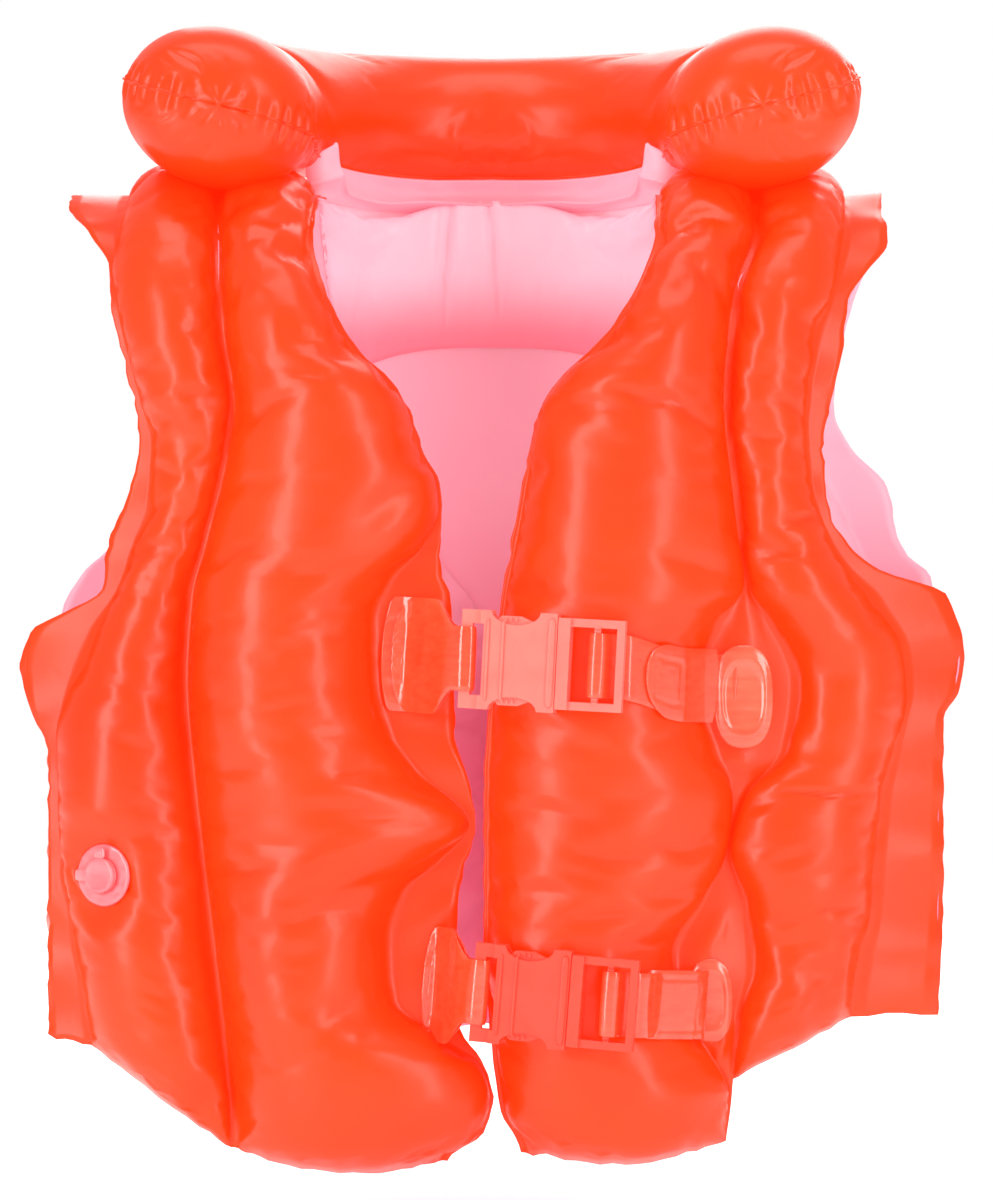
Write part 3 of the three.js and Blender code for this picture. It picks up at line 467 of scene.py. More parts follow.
def painted_shade_by_height(material, colour, top, bottom):
    """Paints shade into a film's colour: runs it into a deeper one between two heights."""
    nodes = material.node_tree.nodes
    shader = nodes["Principled BSDF"]
    place = nodes["Texture Coordinate"].outputs["Object"]
    height = fill(nodes.new("ShaderNodeSeparateXYZ"), Vector=place).outputs["Z"]
    share = fill(nodes.new("ShaderNodeMapRange"), interpolation_type="SMOOTHSTEP", From_Min=top,
                 From_Max=bottom, Value=height)
    plain = shader.inputs["Base Color"].links[0].from_socket
    tint = mixed(nodes.new("ShaderNodeMix"), share.outputs[0], plain, colour)
    fill(shader, Base_Color=tint, Emission_Color=tint)
    return material


def pale_floor():
    """A pale matt floor with very slow clouds and a little light of its own."""
    material, shader, add, place = new_material("Floor")
    cloud = add("TexNoise", Scale=1.5, Vector=place)
    tint = mixed(add("Mix"), cloud.outputs[0], (0.93, 0.93, 0.93), (0.97, 0.97, 0.97))
    fill(shader, Base_Color=tint, Roughness=0.7, Emission_Color=(1.0, 1.0, 1.0, 1.0), Emission_Strength=0.5)
    return material


FINISHES = {}


def finish(name):
    """The named material, made when it is first asked for."""
    film = bpy.context.scene.swimvest_film
    outer, lining = tuple(film.outer_colour), tuple(film.lining_colour)
    if name not in FINISHES:
        # In each call, the first number after the colours is a painted glow that stands in for light through the
        # film or plastic.
        FINISHES[name] = {
            "outer": lambda: vinyl_film("Outer film", outer, (1.0, 0.024, 0.001), 0.34, 0.33, 0.1),
            # Painted shade: the lining runs into a deeper mauve lower down, where it lies in the shade between the
            # chambers.
            "lining": lambda: painted_shade_by_height(
                vinyl_film("Lining film", lining, (0.92, 0.4, 0.5), 0.08, 0.4, 0.1),
                (0.8, 0.2, 0.31), -0.13, -0.26),
            # The neck lining is a lit copy of the lining: paler, with a stronger painted glow. It runs into a
            # deeper colour towards the bottom of the chamber behind the neck, as painted shade on its lower side.
            "neck lining": lambda: painted_shade_by_height(
                vinyl_film("Neck lining film", (0.97, 0.62, 0.71), lining, 0.22, 0.38, 0.08),
                (0.96, 0.24, 0.31), -0.034, -0.068),
            "strap": lambda: clear_band("Strap film", (1.0, 0.033, 0.006), (1.0, 0.075, 0.03), 0.34, 0.24),
            "tab": lambda: clear_band("Tab film", (1.0, 0.035, 0.007), (1.0, 0.085, 0.035), 0.32, 0.12),
            "patch": lambda: clear_band("Patch film", (1.0, 0.04, 0.01), (1.0, 0.13, 0.07), 0.32, 0.18),
            "upper": lambda: moulded("Upper buckle", (0.96, 0.185, 0.145), (0.94, 0.13, 0.1), 0.15),
            "lower": lambda: moulded("Lower buckle", (1.0, 0.055, 0.026), (0.96, 0.04, 0.016), 0.26),
            "valve": lambda: clear_band("Valve vinyl", (0.86, 0.1, 0.12), (0.93, 0.23, 0.24), 0.12, 0.28),
            "floor": pale_floor,
        }[name]()
    return FINISHES[name]


# ---- Front, shoulders and back: one welded pair of films on each side -----------------------------------
FRONT_LEG = 330.0  # length of the front below the chest line
BACK_LEG = 280.0
ARCH_LENGTH = 118.0  # from the chest line up to the shoulder
ARCH_RADIUS = 76.0
ROW_STEP = 3.0  # between rows of the film's grid
RIM = FILM / 2
PINCH = 0.74  # fullness that is left at the shoulder
BOTTOM_ROUND = 30.0  # length over which a chamber closes at its lower end
SHOULDER_BLEND = 1.2  # turn, in radians, in which front and back edges run into each other

HALVES = {
    "right": {
        "sign": -1,
        "front": ["right_film", "right_side", ("right_seam", 1.5), ("right_seam", -1.5), "right_centre",
                  "right_edge"],
        "columns": (5, 16, 2, 24, 6),
    },
    "left": {
        "sign": 1,
        "front": ["left_film", "left_side", "left_seam_side", "left_seam_centre", "left_centre",
                  "left_edge"],
        "columns": (5, 14, 8, 24, 2),
        "back_film": "left_back_film",
    },
}
BACK = ["back_film", "back_side", ("back_seam", 1.5), ("back_seam", -1.5), "back_inner", ("back_inner", -2.2)]
FRONT_THICKNESS = np.array([0.0, 44.0, 0.0, 54.0, 0.0])  # of each zone between two edges
BACK_THICKNESS = np.array([0.0, 40.0, 0.0, 40.0, 0.0])
BULGE = 0.42  # most half thickness of a chamber, as a share of its width
PATCH_SEATS = [(103, -218, 4.6), (89.5, -342, 2.8)]  # where the left film stands up to a strap's patch


def edge_value(entry, z):
    """Distance from the middle and lowest height of a named edge, or of one moved sideways."""
    name, moved = entry if isinstance(entry, tuple) else (entry, 0.0)
    line, bottom = EDGES[name]
    least = 0.2 if name == "back_inner" else -4.0
    return np.maximum(line(z) + moved, least), bottom


def film_rows():
    """The rows of a half, from the front's lower edge over the shoulder to the back's: side, turn and
    share of the way down."""
    leg, arch, back = (round(length / ROW_STEP) for length in (FRONT_LEG, ARCH_LENGTH, BACK_LEG))
    turn = np.linspace(0, math.pi / 2, arch + 1)
    side = np.concatenate([-np.ones(leg + arch + 1), np.ones(arch + back)])
    phi = np.concatenate([np.zeros(leg), turn, turn[::-1][1:], np.zeros(back)])
    low = np.concatenate([
        np.linspace(1, 0, leg + 1)[:-1], np.zeros(2 * arch + 1), np.linspace(0, 1, back + 1)[1:]])
    return side, phi, low


def half_sheets(half, seed):
    """The two sheets of one half of the vest, the mask of its welds and its puckers.

    A point sits at share u of the way between two edges of the pattern. Film and seams are flat. A
    chamber is lifted by its half thickness times the root of 1 - (2u - 1)^2, less towards its lower end.
    Near the welds the film stands in puckers: a wave along the weld that fades with distance from it."""
    side, phi, low = film_rows()
    sign = half["sign"]
    run = np.concatenate([[0], np.cumsum(np.hypot(np.diff(low * FRONT_LEG), np.diff(phi) * ARCH_RADIUS))])
    share = [np.linspace(0, 1, c + 1)[(1 if k else 0):] for k, c in enumerate(half["columns"])]
    u = np.concatenate(share)
    zone = np.concatenate([np.full(len(s), k) for k, s in enumerate(share)])
    chamber = (zone == 1) | (zone == 3)
    u = np.where(chamber, (1 - np.cos(math.pi * u)) / 2, u)

    # Where the six edges run: z first, then x, whose front and back lines blend over the shoulder.
    rise = CHEST_LINE + (SHOULDER_TOP - CHEST_LINE) * np.sin(phi)
    behind = [half.get("back_film", "back_film"), *BACK[1:]]
    z_edges = []
    for ahead, rear in zip(half["front"], behind):
        bottom = np.where(side < 0, edge_value(ahead, 0.0)[1], edge_value(rear, 0.0)[1])
        z_edges.append(np.where(phi > 0, rise, CHEST_LINE + (bottom - CHEST_LINE) * low))
    z_edges = np.array(z_edges)
    z = (z_edges[zone] * (1 - u[:, None]) + z_edges[zone + 1] * u[:, None]).T
    side, phi, low = side[:, None], phi[:, None], low[:, None]
    z = z - np.where(side < 0, 7.0, 5.0) * low * np.where(zone == 3, np.sin(math.pi * u), 0.0)
    mix = smooth(1 - (math.pi / 2 - phi) / SHOULDER_BLEND) / 2
    lines = []
    for ahead, rear in zip(half["front"], behind):
        ahead, rear = edge_value(ahead, z)[0], edge_value(rear, z)[0]
        lines.append(np.where(side < 0, ahead * (1 - mix) + rear * mix, rear * (1 - mix) + ahead * mix))
    lines = np.array(lines)
    columns = np.arange(len(u))
    outer_line, inner_line = lines[zone, :, columns].T, lines[zone + 1, :, columns].T
    x = outer_line + (inner_line - outer_line) * u
    span = np.abs(outer_line - inner_line)

    # The chambers' fullness.
    thick = np.where(side < 0, FRONT_THICKNESS[zone], BACK_THICKNESS[zone])
    full = np.minimum(thick / 2, BULGE * span)
    to_end = np.where(side < 0, FRONT_LEG, BACK_LEG) * (1 - low)
    end = np.sqrt(1 - (1 - np.clip(to_end / BOTTOM_ROUND, 0, 1)) ** 2)
    pinch = 1 - (1 - PINCH) * (phi / (math.pi / 2)) ** 2
    lens = np.sqrt(np.clip(1 - (2 * u - 1) ** 2, 0, 1))
    lift = np.where(chamber, (full * 0.93 - RIM) * lens * end * pinch, 0.0)
    welded = ~chamber | (u <= 0) | (u >= 1) | (low > 0.985)

    # Puckers: deepest at the weld's edge, gone about 14 mm into the chamber.
    puckers = np.zeros_like(x)
    for k in (1, 2, 3, 4):
        near = np.exp(-np.abs(x - lines[k]) / 6.5)
        amount = np.clip(0.45 + 0.75 * wave(run, seed + 10 + k, 80.0), 0.1, 1.3)
        ripple = wave(run, seed + k, 8.0)
        puckers += near * (amount * ripple)[:, None]
    more = 0.55 + 0.9 * bell(z + 135, 34) + 1.1 * smooth((-376 - z) / 20)
    to_weld = np.minimum(u, 1 - u) * span
    puckers = np.where(chamber, puckers * more * np.minimum(1, to_weld / 3.0), 0.0)

    # The free film flutters, its edge wanders in and out, and its lower hem waves.
    flutter = np.where(chamber, 0, 1) * (
        0.7 * wave(run, seed + 30, 37.0) + 0.3 * wave(run, seed + 33, 15.0) * wave(run, seed + 34, 90.0))[:, None]
    free_end = np.where(zone == 0, 1 - u, np.where(zone == 4, u, 0.0))
    bend = flutter * free_end * np.minimum(span, 14.0) * 0.12
    edge_in = (wave(run, seed + 31, 15.0) * (0.5 + 0.5 * wave(run, seed + 32, 60.0)))[:, None] * free_end * 0.8
    near_v = bell(z + 113, 16) * (side < 0)
    edge_in = edge_in + near_v * free_end * 1.5 * np.abs(wave(run, seed + 35, 17.0))[:, None]
    x = x - edge_in * np.where(zone == 0, 1.0, -1.0)
    hem = smooth((low - 0.955) / 0.045)
    z = z + hem * (1.7 * np.abs(wave(x, seed + 36, 19.0)) + 0.4 * wave(x, seed + 37, 60.0))

    # The seam lifts over the shoulder, and the left film stands up under the straps' patches.
    over = 5.5 * (phi / (math.pi / 2)) ** 2
    valley = np.minimum(np.abs(x - lines[2]), np.abs(x - lines[3]))
    bend = bend + over * bell(valley, 11) * ((zone >= 1) & (zone <= 3))
    grain = np.random.default_rng(seed).uniform(-0.12, 0.12, x.shape)
    if sign > 0:
        for px, pz, rise_by in PATCH_SEATS:
            near = np.exp(-(((x - px) / 15) ** 2) - ((z - pz) / 26) ** 2) * (side < 0)
            bend = bend + rise_by * near * np.where(zone == 2, np.sin(math.pi * u), 0.0)

    def lifted(height):
        return on_body(sign * x, z, phi, side, height)

    outer = lifted(RIM + lift + bend + np.where(welded, 0, grain))
    lining = lifted(-(RIM + lift * 0.92) + bend)
    ripples = (lifted(1.0) - lifted(0.0)) * puckers[..., None]
    return (outer, lining), welded, np.stack([ripples, -ripples * 0.7])


def surface_normals(middle):
    """Unit normals of a (rows, columns, 3) surface."""
    return unit(np.cross(np.gradient(middle, axis=1), np.gradient(middle, axis=0)))


# ---- Chamber behind the neck, lining and side panels ----------------------------------------------------
ARCH_RISE = 11.7  # the arched seam's middle stands this much above its ends
ARCH_HALF = 62.0
YOKE_HALF = 14.8  # half thickness of the chamber behind the neck
YOKE_CREASES = [  # x, lean, depth and width
    (-19, -4, 4.2, 1.6), (-15.2, -4, -1.5, 2.2), (-24, -2, 1.5, 1.6), (0, 6, 4.0, 1.5), (3.6, 6, -1.4, 2.2)]


def arch(x):
    """Height of the arched seam: highest in the middle and falling with the cube of the distance."""
    return CHEST_LINE + 0.3 + ARCH_RISE * np.clip(1 - np.abs(x / ARCH_HALF) ** 3, 0, 1)


def yoke_sheets(seed):
    """The chamber behind the neck: x = edge (2u - 1), and y runs from the back's depth in the middle to
    the shoulder line at its top corners. Its puckers are two soft upright creases on its neck side."""
    rows, columns = 44, 124
    u = (1 - np.cos(np.linspace(0, math.pi, columns))) / 2
    v = np.linspace(0, 1, rows)[:, None]
    s = 2 * u - 1
    phi = math.pi / 2 * 0.998 * (1 - v)
    straight = CHEST_LINE + 0.3 + (SHOULDER_TOP - CHEST_LINE - 0.3) * np.sin(phi)
    edge = EDGES["back_inner"][0](straight) - 0.3
    x = edge * s
    z = straight + (arch(x) - CHEST_LINE - 0.3) * v
    y = reach(x, 1) * (1 - s ** 4 * (1 - np.cos(phi)))
    middle = np.stack(np.broadcast_arrays(x, y, z), axis=-1)
    normal = surface_normals(middle)
    normal *= np.sign(normal[rows // 2, columns // 2, 1])
    round_ = np.sqrt(np.clip(1 - s ** 4, 0, 1)) * np.clip(np.sin(math.pi * v), 0, 1) ** 0.6
    along = np.broadcast_to(x, round_.shape)
    pucker = wave(along[rows // 2], seed, 11.0) * (np.exp(-v / 0.07) + np.exp(-(1 - v) / 0.07)) * 1.3
    half = RIM + (YOKE_HALF - RIM) * round_ + pucker * np.minimum(1, round_ * 2)
    half = np.maximum(half, RIM)[..., None]
    ends = np.sin(math.pi * np.clip(v * 1.03, 0, 1)) ** 0.9
    crease = sum(
        depth * bell(along - at - lean * (v - 0.4), wide) * ends for at, lean, depth, wide in YOKE_CREASES)
    return (middle + normal * half, middle - normal * half), round_ <= 0.02, np.stack([
        0 * middle, normal * crease[..., None]])


def thin_sheet(name, middle, materials, thickness=FILM):
    """A closed thin mesh either side of a (rows, columns, 3) surface, along its normals."""
    normal = surface_normals(middle)
    points, faces, tags = two_sheets(middle + normal * thickness / 2, middle - normal * thickness / 2)
    return outwards(mesh_object(name, points, faces, materials, np.minimum(tags, len(materials) - 1)))


def as_sheet(name, middle, skins, node):
    """A flat film on the vest, with the size and area of its middle surface."""
    obj = thin_sheet(name, middle, skins)
    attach(obj, "vest")
    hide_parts(node)


def shield_surface():
    """Flat lining between the back chambers: x = t times the seam's distance, from the arched seam down to where
    the chambers meet, with slow folds."""
    t = np.linspace(-1, 1, 46)
    v = np.linspace(0, 1, 60)[:, None]
    bottom = -199.0
    half = EDGES["back_inner"][0](CHEST_LINE + (bottom - CHEST_LINE) * v) + 1.2  # tucked under the chambers
    x = half * t
    top = arch(x) + 1.0
    z = top + (bottom - top) * v
    folds = 0.8 * wave(x + z * 0.3, 41, 34.0) * (1 - t ** 2) * np.sin(math.pi * v)
    y = reach(x, 1) + folds + 0 * z
    return np.stack(np.broadcast_arrays(x, y, z), axis=-1)


def middle_weld_surface():
    """The weld that joins the two back halves below the shield: a narrow upright band."""
    t = np.linspace(-1, 1, 9)
    z = np.linspace(-197, -363, 90)[:, None]
    x = (2.1 + 0.25 * wave(z, 43, 11.0)) * t
    y = BACK_DEPTH + 0.25 * wave(z, 44, 9.0) * (1 - t ** 2)
    return np.stack(np.broadcast_arrays(x, y, z + 0 * t), axis=-1)


def side_panel_surface(sign):
    """Film under the arm: from the front film's edge to the back film's, with sagging folds across it."""
    name = "right" if sign < 0 else "left"
    tops = (-197, -191) if sign < 0 else (-180, -172)
    front, back = EDGES[f"{name}_film"], EDGES["back_film"]
    u = np.linspace(0, 1, 60)
    v = np.linspace(0, 1, 90)[:, None]
    top = tops[0] + (tops[1] - tops[0]) * u
    z = top + (max(front[1], back[1]) - top) * v
    first, last = front[0](z) - 2.4, back[0](z) - 2.4  # tucked inside the films' edges
    sag = 5.0 * np.sin(math.pi * u) * np.sin(math.pi * np.clip(v * 1.3, 0, 0.5)) * (v < 0.5)
    between = np.sin(math.pi * u) ** 0.7
    folds = between * (1.5 * wave(z + 14 * u, 50 + sign, 26.0) + 0.7 * wave(z - 9 * u, 53 + sign, 11.0))
    x = sign * (first + (last - first) * u + 4 * between + folds)
    start = -reach(first, -1) + 0.6
    y = start + (reach(last, 1) - 0.6 - start) * u
    return np.stack(np.broadcast_arrays(x, y, z - sag * 0.5), axis=-1)


# ---- Collar ------------------------------------------------------------------------------------------
COLLAR = [  # x, y, z, half width, fullness, lean in degrees
    (-112, -72, 25, 40, 1, 14), (-113, -40, 26.5, 41, 0.84, 18), (-108, -8, 29, 38, 0.54, 26),
    (-94, 28, 31, 33, 0.12, 40), (-66, 60, 31, 30, 0, 54), (-34, 78, 31, 29, 0, 62), (0, 84, 31, 28, 0, 64)]
COLLAR_LINE = np.array(COLLAR + [(-x, *rest) for x, *rest in COLLAR[-2::-1]], float)
COLLAR_ENDS = 0.085  # share of the length in which each end closes
TUBE_HALF = 27.0
BULB_MORE = 9.5
BULB_RADIUS = 38.0
GATHER_STEP = 7.0  # from one gather to the next round a bulb


def collar_values(v):
    """The stations' numbers at shares v of the collar's length, on a curve through them (Catmull-Rom)."""
    last = len(COLLAR_LINE) - 1
    i = np.clip(np.floor(v * last).astype(int), 0, last - 1)
    t = (v * last - i)[:, None]
    p, q, r, s = (COLLAR_LINE[np.clip(i + k, 0, last)] for k in (-1, 0, 1, 2))
    return 0.5 * (2 * q + (r - p) * t + (2 * p - 5 * q + 4 * r - s) * t ** 2 + (3 * q - p - 3 * r + s) * t ** 3)


def collar_sections(v):
    """Centre, directions along and across towards the neck, normal, half width, half thickness and
    fullness at shares v of the collar's length."""
    values = collar_values(v)
    centre = values[:, :3]
    along = unit(
        collar_values(np.clip(v + 1e-3, 0, 1))[:, :3] - collar_values(np.clip(v - 1e-3, 0, 1))[:, :3])
    lean = np.radians(values[:, 5:6])
    across = unit(-np.cross([0.0, 0.0, 1.0], along)) * np.cos(lean)
    across[:, 2:3] -= np.sin(lean)
    across = unit(across - along * (across * along).sum(axis=1, keepdims=True))
    close = np.sqrt(np.clip(1 - (1 - np.clip(np.minimum(v, 1 - v) / COLLAR_ENDS, 0, 1)) ** 2, 4e-4, 1))
    half = RIM + (TUBE_HALF + BULB_MORE * values[:, 4] - RIM) * close
    return centre, along, across, np.cross(along, across), values[:, 3] * close, half, values[:, 4]


def collar_sheets(seed):
    """The collar's two films, its welds and its gathers: point = centre + across * half width * s +-
    normal * half thickness * sqrt(1 - s^2), with a narrow flange outside the weld."""
    rows, flange = 240, 1.0
    v = (1 - np.cos(np.linspace(0, math.pi, rows))) / 2
    v = 0.6 * v + 0.4 * np.linspace(0, 1, rows)
    centre, along, across, normal, wide, half, full = collar_sections(v)
    s = -np.cos(np.linspace(0, math.pi, 84))
    spread = wide[:, None] * s
    lens = np.sqrt(np.clip(1 - s ** 2, 0, 1))
    lift = (half[:, None] - RIM) * lens * 0.95
    for at, way in ((0.235, 1), (0.765, -1)):  # soft folds where a bulb runs into the tube
        lift = lift - 3.6 * bell(v[:, None] - at - way * 0.035 * s, 0.014) * lens * smooth(0.9 - 0.5 * s)
    lift = np.pad(np.maximum(lift, 0), ((0, 0), (1, 1)))
    columns = np.concatenate([spread[:, :1] - flange, spread, spread[:, -1:] + flange], axis=1)
    middle = centre[:, None] + across[:, None] * columns[..., None]
    tips = [middle[0] - along[0] * flange, middle[-1] + along[-1] * flange]
    sheets = []
    for sign in (1, -1):
        sheet = middle + sign * normal[:, None] * (RIM + lift)[..., None]
        ends = [tips[0] + sign * normal[0] * RIM, tips[1] + sign * normal[-1] * RIM]
        sheets.append(np.concatenate([ends[0][None], sheet, ends[1][None]]))
    welded = np.zeros(sheets[0].shape[:2], bool)
    welded[[0, 1, -2, -1]] = True
    welded[:, [0, 1, -2, -1]] = True

    # Short dents along the surface's own normal cross the tube's welds at uneven steps.
    facing = np.stack([s * half[:, None], lens * wide[:, None]])
    facing /= np.maximum(np.hypot(*facing), 1e-9)
    dents = np.zeros((rows, len(s)))
    for edge in (-1, 1):
        line = centre + across * (edge * wide)[:, None]
        run = np.concatenate([[0], np.cumsum(np.linalg.norm(np.diff(line, axis=0), axis=1))])
        near = bell(half[:, None] * lens, 3.5 + 3.5 * full[:, None]) * (np.sign(s) == edge)
        phase = run / 6.8 + 0.25 * wave(run, seed + edge, 26.0)
        depth = 0.35 * (0.8 + 0.35 * wave(run, seed + 5, 19.0)) * smooth((np.minimum(v, 1 - v) - 0.17) / 0.05)
        dents = dents + near * (bell(phase - np.round(phase), 0.17) * depth)[:, None]
    dents = np.pad(dents, ((0, 0), (1, 1)), mode="edge")[..., None]
    facing = np.pad(facing, ((0, 0), (0, 0), (1, 1)), mode="edge")[..., None]
    gathers = np.zeros((2, *sheets[0].shape))
    for sheet, sign in zip(gathers, (1, -1)):
        sheet[1:-1] = -dents * (across[:, None] * facing[0] + sign * normal[:, None] * facing[1])

    # Deeper gathers stand like rays round the end of each bulb, on both sides of its weld.
    height = np.pad(half[:, None] * lens, 1)
    share = np.pad(v, 1, mode="edge")
    for end, way in ((0, 1), (1, -1)):
        from_end = share if end == 0 else 1 - share
        at = np.argmin(np.abs(v - (0.115 if end == 0 else 0.885)))
        from_core = (sheets[0] + sheets[1]) / 2 - centre[at]
        turn = np.arctan2(from_core @ across[at], -way * (from_core @ along[at])) * BULB_RADIUS
        phase = turn / GATHER_STEP + 0.22 * wave(turn, seed + 11 + end, 24.0)
        valley = bell(phase - np.round(phase), 0.2) - 0.35
        depth = 2.6 * (0.85 + 0.4 * wave(turn, seed + 13 + end, 15.0)) * smooth((0.235 - from_end) / 0.07)[:, None]
        dent = (depth * valley * np.exp(-((height / 7.5) ** 4)))[..., None]
        for sheet, points in zip(gathers, sheets):
            out = points - centre[at]
            sheet -= dent * out / np.linalg.norm(out, axis=-1, keepdims=True)
    return sheets, welded, gathers


def neck_band_surface():
    """The lining's top edge: film from the collar's weld down to the chamber behind the neck. It rolls
    forward over its own edge, stands up in a small corner at each end and reaches on behind the shoulder."""
    t = np.linspace(0, 1, 120)
    centre, _, across, _, wide, _, _ = collar_sections(0.236 + 0.528 * t)
    top = centre + across * (wide + 1.2)[:, None]
    s = 2 * (0.02 + 0.96 * t) - 1
    foot_x = (EDGES["back_inner"][0](SHOULDER_TOP) - 0.3) * s
    foot_y = reach(foot_x, 1) * (1 - s ** 4 * 0.998)
    foot = np.stack([foot_x, foot_y - 1.6, np.full_like(s, SHOULDER_TOP - 1.6)], axis=-1)
    u = np.concatenate([np.linspace(0, 0.5, 16)[:-1], np.linspace(0.5, 0.66, 12)[:-1], np.linspace(0.66, 1, 12)])
    u = u[:, None, None]
    lip_at = 0.58
    along = t * 190
    corner = bell(np.abs(s) - 0.91, 0.06)[:, None]
    lip_height = foot[:, 2:] + 3.4 + 0.8 * wave(along, 61, 40.0)[:, None] + 6.5 * corner
    line = top * (1 - u) + foot * u
    line[..., 2:] = np.where(u < lip_at, top[:, 2:] + (lip_height - top[:, 2:]) * u / lip_at,
                             lip_height + (foot[:, 2:] - lip_height) * (u - lip_at) / (1 - lip_at))
    inward = unit(np.stack([-foot_x * 0.3, -np.maximum(foot_y, 20), 0 * s], axis=-1))
    lip = np.exp(-np.abs(u - lip_at) / 0.17) * (6.2 + 3.0 * corner + 0.8 * wave(along, 62, 26.0)[:, None])
    hang = np.sin(math.pi * np.clip(u / lip_at, 0, 1)) * (-1.6 + 1.2 * wave(along, 63, 21.0)[:, None])
    line = line + inward * (lip + hang)
    raised = bell(u - 0.3, 0.2)
    line[..., 2] += (raised * corner * 11.0)[..., 0]
    line += inward * raised * corner * 6.5
    line[..., 0] += np.sign(s) * smooth((np.abs(s) - 0.92) / 0.06) * 15.0 * np.sin(math.pi * u[..., 0]) ** 0.7
    return line


# ---- Bands, patches and moulded parts ---------------------------------------------------------------------
BUCKLES = {
    # The end of the welded strap has its own start, width, rounding and square weld (half length, half width).
    "upper": {"tilt": 3.0, "z": -203.0, "welded": 12.0, "patch": (103, -218, 24, 42), "tail": 76.0,
              "droop": 6.5, "end": (62.0, 30, 13, (4.4, 8.5))},
    "lower": {"tilt": 4.5, "z": -338.0, "welded": 7.0, "patch": (89.5, -342, 18, 34), "tail": 84.0,
              "droop": 0.0, "end": (60.0, 28, 2.5, (10.5, 10.5))},
}
YAW = 10.0
HALF_BODY = 4.5
BAR_START = -19.5
PLUG_END = 47.3
CENTRE_BAR = 34.7


def buckle_place(name):
    """Origin and own axes (as columns) of a buckle: x along the strap, y into the body, z up."""
    yaw, tilt = math.radians(YAW), math.radians(BUCKLES[name]["tilt"])
    turn = np.array([[math.cos(yaw), math.sin(yaw), 0], [-math.sin(yaw), math.cos(yaw), 0], [0, 0, 1]])
    lean = np.array([[math.cos(tilt), 0, math.sin(tilt)], [0, 1, 0], [-math.sin(tilt), 0, math.cos(tilt)]])
    axes = turn @ lean
    low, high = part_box(f"{name}_buckle_socket")
    centre = (np.array(low) + np.array(high)) / 2 / MM
    return centre - axes[:, 0] * (BAR_START + 20) / 2, axes


def hanging(along, droop):
    """How far a strap has come down at a place along it: nothing at its buckle, droop further on."""
    return droop * smooth((along - PLUG_END + 3) / 26)


def rounded_line(points, rounds=3):
    """A polyline with its corners cut rounds times, resampled at even steps of about 0.9 mm."""
    line = np.array(points, float)
    for _ in range(rounds):
        a, b = line[:-1], line[1:]
        cut = np.stack([a * 0.75 + b * 0.25, a * 0.25 + b * 0.75], axis=1).reshape(-1, line.shape[1])
        line = np.concatenate([line[:1], cut, line[-1:]])
    run = np.concatenate([[0], np.cumsum(np.linalg.norm(np.diff(line, axis=0), axis=1))])
    at = np.linspace(0, run[-1], max(12, round(run[-1] / 0.9)))
    return np.stack([np.interp(at, run, c) for c in line.T], axis=-1), at


def band(name, line, width, thickness, place, material, rounds, marks, seed, flare=None, droop=0.0):
    """A strap along (x, y) points in a buckle's frame: point = line + normal * (+-half thickness + ripple)
    with z = t * half width. Its ends are rounded over the lengths in rounds, its rims are thinner, it is
    wider by a share flare[2] from flare[0] to flare[1], beyond the buckle it hangs lower by droop, and
    marks are rectangles (x, half length, half width) pressed into it."""
    origin, axes = place
    path, run = rounded_line(line)
    tangent = unit(np.gradient(path, axis=0))
    normal = np.stack([-tangent[:, 1], tangent[:, 0]], axis=-1)
    t = np.sin(np.linspace(-math.pi / 2, math.pi / 2, 34))
    start, end = (np.clip(d / r, 0, 1) for d, r in zip((run, run[-1] - run), rounds))
    narrow = np.sqrt(1 - (1 - start) ** 2 * 0.96) * np.sqrt(1 - (1 - end) ** 2 * 0.96)
    half = (width / 2 * narrow)[:, None]
    if flare is not None:
        half = half * (1 + flare[2] * smooth((path[:, :1] - flare[0]) / (flare[1] - flare[0])))
    z = half * t
    thin = thickness / 2 * (1 - 0.55 * np.abs(t) ** 9) * (1 + 0.1 * bell(np.abs(t) - 0.87, 0.03))
    ripple = 0.22 * (wave(run, seed, 13.0)[:, None] * (0.4 + t ** 2) + wave(run, seed + 1, 21.0)[:, None] * t)
    pressed = np.zeros_like(z)
    for at, a, b in marks:
        d = np.maximum(np.abs(path[:, :1] - at) - a, np.abs(z) - b)
        pressed += 0.38 * bell(d, 0.6) + 0.12 * (d < -1) * wave(path[:, :1] * 3 + z * 2, seed + 3, 3.0)
    out = []
    for sign in (1, -1):
        lift = sign * (thin - np.minimum(pressed, thickness * 0.35)) + ripple
        xy = path[:, None] + normal[:, None] * lift[..., None]
        local = np.concatenate([xy, z[..., None] - hanging(xy[..., :1], droop)], axis=-1)
        out.append(origin + local @ axes.T)
    points, faces, _ = two_sheets(*out)
    return outwards(mesh_object(name, points, faces, (material,)))


def weld_poles(obj):
    """Merges points in the same place, as at the poles of a turned surface, and points faces outwards."""
    bm = bmesh.new()
    bm.from_mesh(obj.data)
    bmesh.ops.remove_doubles(bm, verts=bm.verts, dist=1e-6)
    bmesh.ops.dissolve_degenerate(bm, dist=1e-7, edges=bm.edges)
    bm.to_mesh(obj.data)
    bm.free()
    return outwards(obj)


